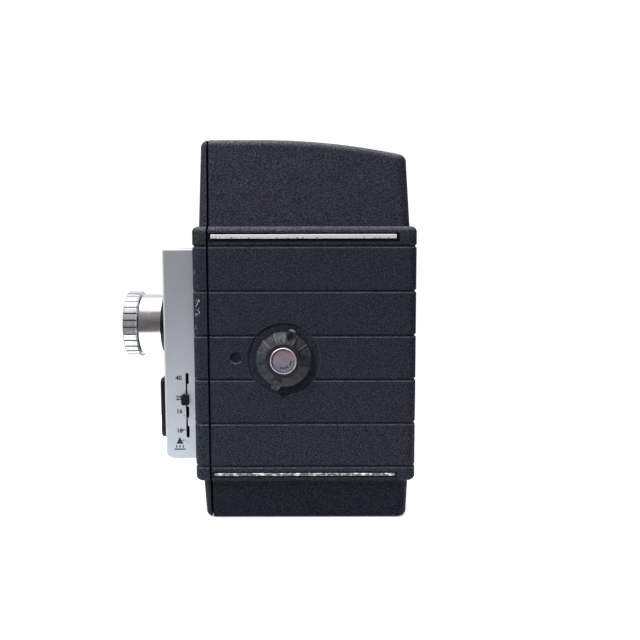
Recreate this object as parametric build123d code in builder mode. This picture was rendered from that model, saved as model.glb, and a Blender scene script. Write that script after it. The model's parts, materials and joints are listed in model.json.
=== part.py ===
from build123d import *
from math import asin, atan, atan2, cos, degrees, pi, radians, sin, sqrt
import os

os.makedirs("parts", exist_ok=True)

# Cine camera for two 25 ft double-8 spools.  Millimetres, +Z up.
# Origin: mouth of the tripod socket.  The lens faces -Y, the film door is at +X.

# ---- Body shell ------------------------------------------------------------
height = 137.0
belt_x = 29.0              # half width of the ribbed belt
belt_y = 39.8              # half length of the ribbed belt
belt_low_z = 14.6
belt_top_z = 106.4
belt_corner = 3.0
shoulder_r = 2.0
wall = 2.5
form_corner = 4.0          # vertical corners of hood and foot

hood_base_z = 100.0
hood_base_x = 26.4
hood_top_x = 24.0
hood_base_front = -38.1
hood_top_front = -36.8
hood_base_back = 38.0
hood_top_back = 35.7
hood_flat_end = -16.0      # the top runs level to here, then curves down
hood_top_r = 246.0
hood_edge_r = 2.6

foot_base_x = 26.0
foot_top_x = 27.0
foot_base_front = -36.6
foot_top_front = -37.7
foot_base_back = 37.0
foot_top_back = 37.8
foot_edge_r = 2.0

groove_pitch = 15.86
groove_top_z = 99.5
groove_count = 6
groove_width = 1.3
groove_depth = 0.6

seam_y = -34.6             # front casing to main casing and door
seam_gap = 0.8             # visible gap in front of the door
part_x = 19.5              # main casing to door, all round
door_gap = 0.3
lip_clearance = 0.3
lip_thickness = 1.2
lip_depth = 2.6

strip_front = -32.95
strip_back = 32.45
strip_low_z = 16.75
strip_low_height = 1.0
strip_top_z = 102.15
strip_top_height = 1.5
strip_proud = 0.05
channel_depth = 0.5
channel_margin = 0.45

# ---- Optics and film path --------------------------------------------------
lens_x = 8.0
lens_z = 70.0
film_low_x = 2.7
film_width = 16.0
film_plane_y = -28.0
finder_z = 119.0

# ---- Mechanism -------------------------------------------------------------
plate_low_x = -2.0
plate_high_x = 0.5
spool_y = 9.8
spool_low_z = 33.0
spool_pitch = 51.6
spool_r = 25.2
spool_core_r = 14.5
flange_thickness = 0.8
spool_low_x = 1.8
spool_high_x = 19.6
spindle_r = 4.0
running = 0.05             # radial clearance of a running fit

barrel_teeth = 60
train_pinion_teeth = 12
barrel_module = 0.8
hub_teeth = 40
take_up_teeth = 22
fine_module = 0.5
governor_wheel_teeth = 40
governor_pinion_teeth = 10
contrate_teeth = 40
shutter_pinion_teeth = 10
contrate_module = 0.6

# places of the wheels along X: back face and, where two share it, front face
drum_low_x = -25.4
gear_low_x = -16.0
gear_high_x = -14.0
hub_wheel_x = -11.0
stub_low_x = -11.8
train_end_x = -17.5
train_pinion_x = -16.3
governor_wheel_x = -13.2
governor_wheel_thickness = 1.2
contrate_back_x = -11.2
contrate_disc = 1.3
governor_pinion_x = -13.4
governor_low_x = -26.3
governor_high_x = -11.6
take_up_wheel_x = -11.2
take_up_low_x = -9.0

barrel_z = spool_low_z + fine_module * (hub_teeth + take_up_teeth) / 2
train_distance = barrel_module * (barrel_teeth + train_pinion_teeth) / 2
train_y = spool_y - sqrt(train_distance**2 - (lens_z - barrel_z) ** 2)
train_angle = degrees(atan2(lens_z - barrel_z, train_y - spool_y))
governor_angle = 60.0
governor_distance = fine_module * (governor_wheel_teeth + governor_pinion_teeth) / 2
governor_y = train_y + governor_distance * cos(radians(governor_angle))
governor_z = lens_z + governor_distance * sin(radians(governor_angle))
contrate_r = contrate_module * contrate_teeth / 2
shutter_x = -6.0
pinion_y = train_y - contrate_r
contrate_pitch_x = shutter_x - contrate_module * shutter_pinion_teeth / 2

latch_y = -7.5
latch_z = 59.4
latch_recess_r = 13.1
recess_depth = 0.6
recess_x = belt_x - recess_depth

# ---- Front plate -----------------------------------------------------------
front_plate_x = 25.0
front_plate_y = -50.8
front_plate_low_z = 22.3
front_plate_top_z = 98.4
front_plate_wall = 1.3
front_plate_low_r = 3.0
front_plate_top_r = 0.4
slot_low_z = 30.1
slot_top_z = 53.8
slot_front = -43.35
slot_wide = 1.15
slot_narrow = 0.6
speed_slider_z = 44.1
cell_x = 19.0
cell_low_z = 28.4
cell_top_z = 50.9

# ---- Outside controls on the wind side ---------------------------------------
key_recess_r = 15.2
button_y = -25.0
button_z = 91.57
button_travel = 4.0
dial_y = 17.0
dial_z = 91.57
dial_window_offset = 6.0

# ---- Small fittings ------------------------------------------------------------
rear_tube_r = 9.3
finder_window_x = 15.0
finder_window_z = 11.0
finder_tube_x = 18.0
finder_tube_z = 14.0
finder_wall = 1.0
finder_tube_back = 32.0
eyepiece_r = 6.5

socket_r = 6.0
socket_hole_r = 3.175      # 1/4-20 thread, nominal
socket_depth = 5.8
socket_top_z = 7.0

screw_shank_r = 1.2
screw_head_r = 2.4
screw_head_depth = 1.3
pillar_r = 2.8
plate_screw_places = [(sx * 21.0, z) for sx in (-1, 1) for z in (25.8, 94.0)]
pillar_low_z = groove_top_z - 4.5 * groove_pitch
pillar_high_z = groove_top_z - 0.5 * groove_pitch
pillar_places = [
    (-20.0, pillar_low_z),
    (31.8, pillar_low_z),
    (31.8, pillar_high_z),
    (-12.0, pillar_high_z),
]

plate_front = -28.0
plate_back = 34.0
plate_bottom = 9.0
plate_top = 102.0

latch_bush_r = 5.0
latch_shaft_r = 3.0
latch_cup_r = 6.0
latch_cup_low_x = 20.2
latch_cup_depth = 4.8
dimple_y = -24.5
dimple_z = 60.0
dimple_r = 2.0

arbor_r = 2.5
barrel_stub_r = 2.0
train_shaft_r = 1.25
governor_shaft_r = 0.8
shutter_shaft_r = 1.0

dial_window_r = 4.5
dial_stub_r = 1.0
button_neck_y = 3.0
button_neck_z = 5.0

gate_high_x = 20.5
gate_height = 33.0
gate_thickness = 1.5
claw_z = lens_z - 5.7
claw_travel = 1.9
pressure_stem_r = 1.3
bracket_y = -18.0

ring_r = 12.35
ring_lands = 30
barrel_outer_r = 11.25
barrel_bore_r = 9.0
cell_tube_r = 8.5
base_ring_r = 11.6
base_ring_front_y = -53.0
barrel_spigot_r = 9.5
lens_front_y = -66.9
ring_back_y = -61.8
barrel_back_y = -47.5
base_spigot_r = 10.5
rear_glass_r = 7.0
front_glass_r = 6.6
focus_travel = 0.9
ring_gap = 0.3
iris_x = -12.0
iris_plane_y = -46.3
iris_shaft_r = 0.8

claw_back_y = -31.2
bearing_front_y = -30.0
bearing_back_y = -23.0
shutter_front_y = -34.0
shutter_back_y = -32.9
shutter_r = 18.0

knob_r = 9.85
knob_rim = 1.3
knob_slope_rise = 1.5
knob_height = 4.6
knob_facets = 14
knob_rib_angle = 8.0
knob_collar_r = 6.3
knob_bar_length = 22.4
knob_bar_width = 3.3
knob_bar_angle = 73.0
knob_bar_rise = 1.3
lug_pocket_place = 8.7
lug_pocket_length = 3.0
lug_pocket_width = 2.1
lug_pocket_depth = 1.0
latch_disc_r = 4.75

key_hub_r = 8.0
key_flange = 1.8
key_pin_x = -34.4
key_pin_r = 1.2
key_pin_reach = 9.6
bail_reach = 13.0
bail_half = 1.2


def level(z):
    """Horizontal plane at height z."""
    return Plane.XY.offset(z)


def side(x):
    """Plane across X: its x runs along +Y, its y along +Z, its normal along +X."""
    return Plane.YZ.offset(x)


def front(y):
    """Plane across Y: its x runs along +X, its y along +Z, its normal along -Y."""
    return Plane.XZ.offset(-y)


def save(builder, name):
    """Label a finished piece and write it to its own file."""
    builder.part.label = name
    export_step(builder.part, f"parts/{name}.step")


def gear(plane, teeth, module, thickness, bore_r, tooth_at):
    """Spur gear on plane, with the middle of one tooth at the angle tooth_at."""
    pitch_r = module * teeth / 2
    root_r = pitch_r - 1.15 * module
    tip_r = pitch_r + 0.9 * module
    root_half = 0.24 * pi * module
    tip_half = 0.10 * pi * module
    inside_r = root_r - 0.3 * module
    with BuildPart() as wheel:
        with BuildSketch(plane):
            Circle(root_r)
            with PolarLocations(0, teeth, start_angle=tooth_at):
                Polygon(
                    (inside_r, -root_half),
                    (tip_r, -tip_half),
                    (tip_r, tip_half),
                    (inside_r, root_half),
                    align=None,
                )
            if bore_r > 0:
                Circle(bore_r, mode=Mode.SUBTRACT)
        extrude(amount=thickness)
    return wheel.part


def hood_form(inset):
    """Tapered hood with a top that runs level and then curves down to the back."""
    corner = max(form_corner - inset, 1.0)
    with BuildPart() as hood:
        with BuildSketch(level(hood_base_z)):
            with Locations((0, (hood_base_front + hood_base_back) / 2)):
                RectangleRounded(
                    2 * (hood_base_x - inset),
                    hood_base_back - hood_base_front - 2 * inset,
                    corner,
                )
        with BuildSketch(level(height + 2)):
            with Locations((0, (hood_top_front + hood_top_back) / 2)):
                RectangleRounded(
                    2 * (hood_top_x - inset),
                    hood_top_back - hood_top_front - 2 * inset,
                    corner,
                )
        loft()
        top = height - inset
        curve_r = hood_top_r - inset
        reach = 60.0
        sweep_deg = degrees(asin((reach - hood_flat_end) / curve_r))
        with BuildSketch(Plane.YZ):
            with BuildLine():
                level_run = Line((-reach, top), (hood_flat_end, top))
                curve = CenterArc((hood_flat_end, top - curve_r), curve_r, 90, -sweep_deg)
                Polyline(curve @ 1, (reach, hood_base_z), (-reach, hood_base_z), level_run @ 0)
            make_face()
        extrude(amount=reach, both=True, mode=Mode.INTERSECT)
        if inset == 0:
            rim = hood.edges().filter_by(
                lambda e: e.center().Z > 126
                and not (abs(e.center().X) < 0.1 and abs(e.center().Y - hood_flat_end) < 1)
                and e.bounding_box().size.Z < 8
            )
            fillet(rim, hood_edge_r)
    return hood.part


def foot_form(inset):
    """Recessed foot that narrows downwards."""
    corner = max(form_corner - inset, 1.0)
    with BuildPart() as foot:
        with BuildSketch(level(inset)):
            with Locations((0, (foot_base_front + foot_base_back) / 2)):
                RectangleRounded(
                    2 * (foot_base_x - inset),
                    foot_base_back - foot_base_front - 2 * inset,
                    corner,
                )
        with BuildSketch(level(belt_low_z + 4)):
            with Locations((0, (foot_top_front + foot_top_back) / 2)):
                RectangleRounded(
                    2 * (foot_top_x - inset),
                    foot_top_back - foot_top_front - 2 * inset,
                    corner,
                )
        loft()
        if inset == 0:
            fillet(foot.faces().sort_by(Axis.Z)[0].edges(), foot_edge_r)
    return foot.part


def belt_form(inset):
    """Belt that stands proud of the hood and foot."""
    with BuildPart() as belt:
        with BuildSketch(level(belt_low_z + inset)):
            RectangleRounded(
                2 * (belt_x - inset), 2 * (belt_y - inset), max(belt_corner - inset, 1.0)
            )
        extrude(amount=belt_top_z - belt_low_z - 2 * inset)
        if inset == 0:
            fillet(belt.faces().sort_by(Axis.Z)[0].edges(), shoulder_r)
            fillet(belt.faces().sort_by(Axis.Z)[-1].edges(), shoulder_r)
    return belt.part


def body_form(inset):
    """Hood, belt and foot as one solid, with every face moved in by inset."""
    pieces = [belt_form(inset), hood_form(inset), foot_form(inset)]
    with BuildPart() as form:
        for piece in pieces:
            add(piece)
    return form.part


def region(low, high):
    """Box between two corners."""
    size = [b - a for a, b in zip(low, high)]
    middle = [(a + b) / 2 for a, b in zip(low, high)]
    with BuildPart() as block:
        with Locations(tuple(middle)):
            Box(*size)
    return block.part


# ---- Body shell, cut into front casing, main casing and film door ------------

groove_angle = degrees(atan(groove_depth / (groove_width / 2)))
with BuildPart() as groove_cutter:
    with BuildSketch(level(-groove_width / 2)):
        Rectangle(2 * belt_x + 10, 2 * belt_y + 10)
    extrude(amount=groove_width)
    for direction in (1, -1):
        with BuildSketch(level(0)):
            RectangleRounded(
                2 * (belt_x - groove_depth),
                2 * (belt_y - groove_depth),
                belt_corner - groove_depth,
            )
        extrude(
            amount=direction * groove_width / 2, taper=-groove_angle, mode=Mode.SUBTRACT
        )

outside = body_form(0)
cavity = body_form(wall)
lip_outside = body_form(wall + lip_clearance)
lip_inside = body_form(wall + lip_clearance + lip_thickness)

strips = [(strip_low_z, strip_low_height), (strip_top_z, strip_top_height)]
strip_length = strip_back - strip_front
strip_mid_y = (strip_front + strip_back) / 2

with BuildPart() as grooved:
    add(outside)
    with Locations(*[(0, 0, groove_top_z - k * groove_pitch) for k in range(groove_count)]):
        add(groove_cutter.part, mode=Mode.SUBTRACT)
    for strip_z, strip_height in strips:
        with BuildSketch(side(-belt_x), side(belt_x)):
            with Locations((strip_mid_y, strip_z + strip_height / 2)):
                Rectangle(strip_length + 2 * channel_margin, strip_height + 2 * channel_margin)
        extrude(amount=channel_depth, both=True, mode=Mode.SUBTRACT)
    with BuildSketch(side(recess_x)):
        with Locations((latch_y, latch_z)):
            Circle(latch_recess_r)
    extrude(amount=5, mode=Mode.SUBTRACT)
    with BuildSketch(side(-recess_x)):
        with Locations((spool_y, barrel_z)):
            Circle(key_recess_r)
    extrude(amount=-5, mode=Mode.SUBTRACT)

big = 80.0
tall = 150.0
lip_back = seam_y + lip_depth
door_x = part_x + door_gap

with BuildPart() as front_lip:
    add(lip_outside)
    add(region((-big, seam_y, -10), (big, lip_back, tall)), mode=Mode.INTERSECT)

with BuildPart() as front_casing:
    add(grooved.part)
    add(region((-big, -big, -10), (big, seam_y, tall)), mode=Mode.INTERSECT)
    add(front_lip.part)
    add(lip_inside, mode=Mode.SUBTRACT)
    with BuildSketch(front(-30)):
        with Locations((lens_x, lens_z)):
            Circle(rear_tube_r)
        with Locations((lens_x, finder_z)):
            Rectangle(finder_window_x, finder_window_z)
    extrude(amount=20, mode=Mode.SUBTRACT)
    with BuildSketch(front(-30)):
        with Locations((lens_x, finder_z)):
            Rectangle(finder_tube_x, finder_tube_z)
    extrude(amount=-30 - seam_y, mode=Mode.SUBTRACT)
save(front_casing, "front_casing")

with BuildPart() as door_rim:
    add(cavity)
    add(region((part_x - 3, lip_back + lip_clearance, -10), (part_x, big, tall)), mode=Mode.INTERSECT)

with BuildPart() as door_lip:
    add(lip_outside)
    add(
        region((part_x, lip_back + lip_clearance, -10), (part_x + lip_depth, big, tall)),
        mode=Mode.INTERSECT,
    )

with BuildPart() as casing:
    add(grooved.part)
    add(region((-big, seam_y, -10), (part_x, big, tall)), mode=Mode.INTERSECT)
    add(cavity, mode=Mode.SUBTRACT)
    add(door_rim.part)
    add(door_lip.part)
    add(lip_inside, mode=Mode.SUBTRACT)
    # tripod socket seat
    with BuildSketch(level(-1)):
        Circle(socket_r)
    extrude(amount=8, mode=Mode.SUBTRACT)
    # eyepiece hole in the back of the hood
    with BuildSketch(front(30)):
        with Locations((lens_x, finder_z)):
            Circle(eyepiece_r)
    extrude(amount=-15, mode=Mode.SUBTRACT)
    # wind side: key arbor, run button slot, counter window, screw holes
    with BuildSketch(side(-35)):
        with Locations((spool_y, barrel_z)):
            Circle(arbor_r + running)
        with Locations((button_y, button_z)):
            Rectangle(button_neck_y + 0.4, button_neck_z + 2 * button_travel + 0.8)
        with Locations((dial_y + dial_window_offset, dial_z)):
            Circle(dial_window_r)
        with Locations(*pillar_places):
            Circle(screw_shank_r)
    extrude(amount=12, mode=Mode.SUBTRACT)
    with BuildSketch(side(-belt_x)):
        with Locations(*pillar_places):
            Circle(screw_head_r + 0.1)
    extrude(amount=screw_head_depth, mode=Mode.SUBTRACT)
    # bearing boss of the governor shaft
    with BuildSketch(side(-(belt_x - wall) - 0.5)):
        with Locations((governor_y, governor_z)):
            Circle(2.5)
    extrude(amount=2.0)
    with BuildSketch(side(-(belt_x - wall))):
        with Locations((governor_y, governor_z)):
            Circle(governor_shaft_r + running)
    extrude(amount=3.0, mode=Mode.SUBTRACT)
    # stub that the counter dial turns on
    with BuildSketch(side(-(belt_x - wall) - 0.5)):
        with Locations((dial_y, dial_z)):
            Circle(dial_stub_r)
    extrude(amount=3.0)

# the casing is two castings, which meet at the ledge under the belt
for node, low_z, high_z in (("main_casing", belt_low_z, tall), ("base_tray", -10, belt_low_z)):
    with BuildPart() as casting:
        add(casing.part)
        add(region((-big, -big, low_z), (big, big, high_z)), mode=Mode.INTERSECT)
    save(casting, node)

with BuildPart() as film_door:
    add(grooved.part)
    add(region((door_x, seam_y + seam_gap, -10), (big, big, tall)), mode=Mode.INTERSECT)
    add(cavity, mode=Mode.SUBTRACT)
    with BuildSketch(side(belt_x - wall - 1)):
        with Locations((latch_y, latch_z)):
            Circle(latch_bush_r)
    extrude(amount=5, mode=Mode.SUBTRACT)
    # small blind dimple beside the latch
    with BuildSketch(side(belt_x)):
        with Locations((dimple_y, dimple_z)):
            Circle(dimple_r)
    extrude(amount=-0.5, mode=Mode.SUBTRACT)
save(film_door, "film_door")

for node, face_x, outward in (("casing_trim_strips", -belt_x, -1), ("door_trim_strips", belt_x, 1)):
    with BuildPart() as trim:
        for strip_z, strip_height in strips:
            with BuildSketch(side(face_x - outward * channel_depth)):
                with Locations((strip_mid_y, strip_z + strip_height / 2)):
                    Rectangle(strip_length, strip_height)
            extrude(amount=outward * (channel_depth + strip_proud))
        outer_face = trim.faces().filter_by(lambda f: f.center().X * outward > belt_x)
        chamfer(outer_face.edges(), 0.15)
    save(trim, node)

# ---- Tripod socket, screws, pillars, mechanism plate ---------------------------

with BuildPart() as tripod_socket:
    with BuildSketch(level(0)):
        Circle(socket_r)
    extrude(amount=socket_top_z)
    with BuildSketch(level(wall)):
        Circle(socket_r + 1.8)
    extrude(amount=1.5)
    with BuildSketch(level(0)):
        Circle(socket_hole_r)
    extrude(amount=socket_depth, mode=Mode.SUBTRACT)
save(tripod_socket, "tripod_socket")

with BuildPart() as case_screws:
    with BuildSketch(side(-belt_x + screw_head_depth)):
        with Locations(*pillar_places):
            Circle(screw_head_r)
    extrude(amount=-screw_head_depth + 0.25)
    with BuildSketch(side(-belt_x + 0.25)):
        with Locations(*pillar_places):
            Rectangle(2 * screw_head_r, 0.6)
    extrude(amount=0.5, mode=Mode.SUBTRACT)
    with BuildSketch(side(-belt_x + screw_head_depth)):
        with Locations(*pillar_places):
            Circle(screw_shank_r)
    extrude(amount=10)
    # pan heads at the corners of the front plate
    with BuildSketch(front(front_plate_y)):
        with Locations(*plate_screw_places):
            Circle(1.7)
            Rectangle(3.4, 0.5, mode=Mode.SUBTRACT)
    extrude(amount=0.5)
    with BuildSketch(front(front_plate_y)):
        with Locations(*plate_screw_places):
            Circle(1.7)
    extrude(amount=0.25)
save(case_screws, "case_screws")

with BuildPart() as plate_pillars:
    with BuildSketch(side(-belt_x + wall)):
        with Locations(*pillar_places):
            Circle(pillar_r)
            Circle(screw_shank_r, mode=Mode.SUBTRACT)
    extrude(amount=belt_x - wall + plate_low_x)
save(plate_pillars, "plate_pillars")

with BuildPart() as mechanism_plate:
    with BuildSketch(side(plate_low_x)) as outline:
        with Locations(((plate_front + plate_back) / 2, (plate_bottom + plate_top) / 2)):
            RectangleRounded(plate_back - plate_front, plate_top - plate_bottom, 4)
        with Locations((spool_y, spool_low_z)):
            Circle(spindle_r + running, mode=Mode.SUBTRACT)
        with Locations((train_y, lens_z)):
            Circle(train_shaft_r + running, mode=Mode.SUBTRACT)
    extrude(amount=plate_high_x - plate_low_x)
    # stub axle of the spring barrel
    with BuildSketch(side(stub_low_x)):
        with Locations((spool_y, barrel_z)):
            Circle(barrel_stub_r)
    extrude(amount=plate_low_x - stub_low_x)
save(mechanism_plate, "mechanism_plate")

# ---- Film gate -------------------------------------------------------------------

claw_slot_x = film_low_x + 0.9
with BuildPart() as aperture_plate:
    with BuildSketch(front(film_plane_y)):
        with Locations(((plate_high_x + gate_high_x) / 2, lens_z)):
            Rectangle(gate_high_x - plate_high_x, gate_height)
    extrude(amount=gate_thickness)
    with BuildSketch(front(film_plane_y + 3.4)):
        with Locations((plate_high_x + 0.75, lens_z)):
            Rectangle(1.5, gate_height)
    extrude(amount=3.4)
    with BuildSketch(front(film_plane_y)):
        with Locations((lens_x, lens_z)):
            Rectangle(4.9, 3.7)
        with Locations((claw_slot_x, claw_z)):
            Rectangle(1.6, 5.8)
    extrude(amount=gate_thickness, mode=Mode.SUBTRACT)
    # edge rails that guide the film
    with BuildSketch(front(film_plane_y + 0.25)):
        with Locations((film_low_x - 0.55, lens_z), (film_low_x + film_width + 0.7, lens_z)):
            Rectangle(0.6, gate_height)
    extrude(amount=0.25)
save(aperture_plate, "aperture_plate")

with BuildPart() as pressure_plate:
    with BuildSketch(front(film_plane_y + 1.9)):
        with Locations((film_low_x + film_width / 2, lens_z)):
            Rectangle(film_width - 0.6, 19)
    extrude(amount=1.6)
    with BuildSketch(front(film_plane_y + 0.9)):
        with Locations((claw_slot_x, lens_z)):
            Rectangle(2.0, 19)
    extrude(amount=0.7, mode=Mode.SUBTRACT)
    with BuildSketch(front(film_plane_y + 10.2)):
        with Locations((film_low_x + film_width / 2, lens_z)):
            Circle(pressure_stem_r)
    extrude(amount=8.4)
save(pressure_plate, "pressure_plate")

with BuildPart() as gate_bracket:
    with BuildSketch(front(bracket_y)):
        with Locations(((plate_high_x + 15) / 2, lens_z)):
            Rectangle(15 - plate_high_x, 10)
        with Locations((film_low_x + film_width / 2, lens_z)):
            Circle(pressure_stem_r + running, mode=Mode.SUBTRACT)
    extrude(amount=1.4)
    with BuildSketch(side(plate_high_x)):
        with Locations((bracket_y - 2.5, lens_z)):
            Rectangle(5, 10)
    extrude(amount=1.3)
save(gate_bracket, "gate_bracket")

spring_low = film_plane_y + 2.3
spring_high = bracket_y - 1.8
with BuildPart() as pressure_spring:
    with BuildLine() as coil:
        Helix(
            pitch=(spring_high - spring_low) / 4.5,
            height=spring_high - spring_low,
            radius=2.2,
            center=(film_low_x + film_width / 2, spring_low, lens_z),
            direction=(0, 1, 0),
        )
    with BuildSketch(coil.line ^ 0):
        Circle(0.3)
    sweep(is_frenet=True)
save(pressure_spring, "pressure_spring")

claw_window_x = 5.4
claw_window_z = 7.3
with BuildPart() as film_claw:
    with BuildSketch(front(claw_back_y)):
        with Locations((shutter_x, lens_z)):
            RectangleRounded(2 * claw_window_x + 4, 2 * claw_window_z + 4, 2)
        with Locations(((shutter_x + claw_slot_x + 0.6) / 2, claw_z)):
            Rectangle(claw_slot_x + 0.6 - shutter_x, 2.4)
        with Locations((shutter_x, lens_z)):
            Rectangle(2 * claw_window_x, 2 * claw_window_z, mode=Mode.SUBTRACT)
    extrude(amount=0.7)
    with BuildSketch(front(film_plane_y + 0.6)):
        with Locations((claw_slot_x, claw_z)):
            Rectangle(0.8, 0.9)
    extrude(amount=film_plane_y + 0.6 - claw_back_y)
save(film_claw, "film_claw")

# ---- Shutter -----------------------------------------------------------------------

block_high_z = 8.0
with BuildPart() as shutter_bearing:
    with BuildSketch(front(bearing_back_y)):
        with Locations(((plate_low_x + shutter_x - 4) / 2, lens_z)):
            Rectangle(plate_low_x - shutter_x + 4, block_high_z)
        with Locations((shutter_x, lens_z)):
            Circle(shutter_shaft_r + running, mode=Mode.SUBTRACT)
    extrude(amount=bearing_back_y - bearing_front_y)
save(shutter_bearing, "shutter_bearing")

pinion_plane = Plane(
    origin=(shutter_x, pinion_y + 1.2, lens_z), x_dir=(1, 0, 0), z_dir=(0, -1, 0)
)
pinion_gap = 180 + 180 / shutter_pinion_teeth
shutter_pinion = gear(
    pinion_plane, shutter_pinion_teeth, contrate_module, 2.4, 0, pinion_gap
)
with BuildPart() as shutter_shaft:
    add(shutter_pinion)
    with BuildSketch(front(pinion_y + 2.2)):
        with Locations((shutter_x, lens_z)):
            Circle(shutter_shaft_r)
    extrude(amount=pinion_y + 2.2 - shutter_front_y)
    # eccentric that works the claw frame
    with BuildSketch(front(claw_back_y)):
        with Locations((shutter_x, lens_z + claw_travel)):
            Circle(3.0)
    extrude(amount=0.7)
save(shutter_shaft, "shutter_shaft")

with BuildPart() as shutter_disc:
    with BuildSketch(front(shutter_back_y)):
        with Locations((shutter_x, lens_z)):
            Circle(shutter_r)
        with BuildLine():
            Polyline(
                (shutter_x + 4, lens_z - 4),
                (shutter_x + shutter_r + 4, lens_z - 4),
                (shutter_x + shutter_r + 4, lens_z + shutter_r + 4),
                (shutter_x - 4, lens_z + shutter_r + 4),
                (shutter_x - 4, lens_z + 4),
                (shutter_x + 4, lens_z + 4),
                close=True,
            )
        make_face(mode=Mode.SUBTRACT)
        with Locations((shutter_x, lens_z)):
            Circle(shutter_shaft_r, mode=Mode.SUBTRACT)
    extrude(amount=0.5)
save(shutter_disc, "shutter_disc")

# ---- Spring motor and gear train ---------------------------------------------------

drum_r = 22.5
with BuildPart() as mainspring_barrel:
    with BuildSketch(side(drum_low_x)):
        with Locations((spool_y, barrel_z)):
            Circle(drum_r)
            Circle(arbor_r + running, mode=Mode.SUBTRACT)
    extrude(amount=1.2)
    with BuildSketch(side(drum_low_x + 1.2)):
        with Locations((spool_y, barrel_z)):
            Circle(drum_r)
            Circle(drum_r - 1.2, mode=Mode.SUBTRACT)
    extrude(amount=gear_low_x - drum_low_x - 1.2)
save(mainspring_barrel, "mainspring_barrel")

barrel_wheel = gear(
    Plane(origin=(gear_low_x, spool_y, barrel_z), x_dir=(0, 1, 0), z_dir=(1, 0, 0)),
    barrel_teeth, barrel_module, gear_high_x - gear_low_x, 0, train_angle,
)
hub_wheel = gear(
    Plane(origin=(hub_wheel_x, spool_y, barrel_z), x_dir=(0, 1, 0), z_dir=(1, 0, 0)),
    hub_teeth, fine_module, 2.0, 0, 270,
)
with BuildPart() as barrel_gear:
    add(barrel_wheel)
    add(hub_wheel)
    with BuildSketch(side(gear_high_x)):
        with Locations((spool_y, barrel_z)):
            Circle(7.0)
    extrude(amount=hub_wheel_x - gear_high_x)
    with BuildSketch(side(stub_low_x - 0.2)):
        with Locations((spool_y, barrel_z)):
            Circle(barrel_stub_r + running)
    extrude(amount=4, mode=Mode.SUBTRACT)
    with BuildSketch(side(gear_low_x)):
        with Locations((spool_y, barrel_z)):
            Circle(arbor_r + running)
    extrude(amount=1.4, mode=Mode.SUBTRACT)
save(barrel_gear, "barrel_gear")

def spiral_point(radius, angle):
    """Point on the side plane at a polar place about the barrel's axis."""
    return (spool_y + radius * cos(angle), barrel_z + radius * sin(angle))


spring_turns = 6
spring_inner_r = 6.0
spring_outer_r = 20.4
spring_thickness = 0.5
spring_steps = 12 * spring_turns
angles = [2 * pi * k / 12 for k in range(spring_steps + 1)]
radii = [
    spring_inner_r + (spring_outer_r - spring_inner_r) * k / spring_steps
    for k in range(spring_steps + 1)
]
with BuildPart() as mainspring:
    with BuildSketch(side(drum_low_x + 1.6)):
        with BuildLine():
            inner = Spline(*[spiral_point(r, a) for r, a in zip(radii, angles)])
            outer = Spline(
                *[spiral_point(r + spring_thickness, a) for r, a in zip(radii, angles)]
            )
            Line(inner @ 0, outer @ 0)
            Line(inner @ 1, outer @ 1)
        make_face()
    extrude(amount=gear_low_x - drum_low_x - 2.0)
save(mainspring, "mainspring")

train_pinion = gear(
    Plane(origin=(train_pinion_x, train_y, lens_z), x_dir=(0, 1, 0), z_dir=(1, 0, 0)),
    train_pinion_teeth, barrel_module, 2.6, 0,
    train_angle + 180 + 180 / train_pinion_teeth,
)
governor_wheel = gear(
    Plane(origin=(governor_wheel_x, train_y, lens_z), x_dir=(0, 1, 0), z_dir=(1, 0, 0)),
    governor_wheel_teeth, fine_module, governor_wheel_thickness, 0, governor_angle,
)
with BuildPart() as train_shaft:
    add(train_pinion)
    add(governor_wheel)
    with BuildSketch(side(train_end_x)):
        with Locations((train_y, lens_z)):
            Circle(train_shaft_r)
    extrude(amount=-train_end_x)
    with BuildSketch(side(governor_wheel_x - 0.5)):
        with Locations((train_y, lens_z)):
            Circle(2.5)
    extrude(amount=contrate_back_x - governor_wheel_x + 0.5)
save(train_shaft, "train_shaft")

tooth_width = 0.32 * pi * contrate_module
with BuildPart() as contrate_wheel:
    with BuildSketch(side(contrate_back_x)):
        with Locations((train_y, lens_z)):
            Circle(contrate_r + 1.2)
            Circle(train_shaft_r, mode=Mode.SUBTRACT)
    extrude(amount=contrate_disc)
    with BuildSketch(side(contrate_back_x + contrate_disc)):
        with Locations((train_y, lens_z)):
            with PolarLocations(contrate_r, contrate_teeth):
                Rectangle(2.2, tooth_width)
    extrude(amount=contrate_pitch_x - contrate_back_x - contrate_disc + 0.45)
    # lightening holes
    with BuildSketch(side(contrate_back_x)):
        with Locations((train_y, lens_z)):
            with PolarLocations(6.3, 5):
                Circle(2.2)
    extrude(amount=contrate_disc, mode=Mode.SUBTRACT)
save(contrate_wheel, "contrate_wheel")

governor_pinion = gear(
    Plane(origin=(governor_pinion_x, governor_y, governor_z), x_dir=(0, 1, 0), z_dir=(1, 0, 0)),
    governor_pinion_teeth, fine_module, 1.6, 0,
    governor_angle + 180 + 180 / governor_pinion_teeth,
)
with BuildPart() as governor_shaft:
    add(governor_pinion)
    with BuildSketch(side(governor_low_x)):
        with Locations((governor_y, governor_z)):
            Circle(governor_shaft_r)
    extrude(amount=governor_high_x - governor_low_x)
save(governor_shaft, "governor_shaft")

with BuildPart() as governor_weights:
    with BuildSketch(side(-24.5)):
        with Locations((governor_y, governor_z)):
            Circle(6.5)
            Circle(governor_shaft_r, mode=Mode.SUBTRACT)
    extrude(amount=1.0)
    with BuildSketch(side(-23.5)):
        with Locations((governor_y, governor_z)):
            with PolarLocations(4.3, 3):
                Circle(1.9)
    extrude(amount=4.5)
save(governor_weights, "governor_weights")

# ---- Spindles and spools -------------------------------------------------------------

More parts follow.
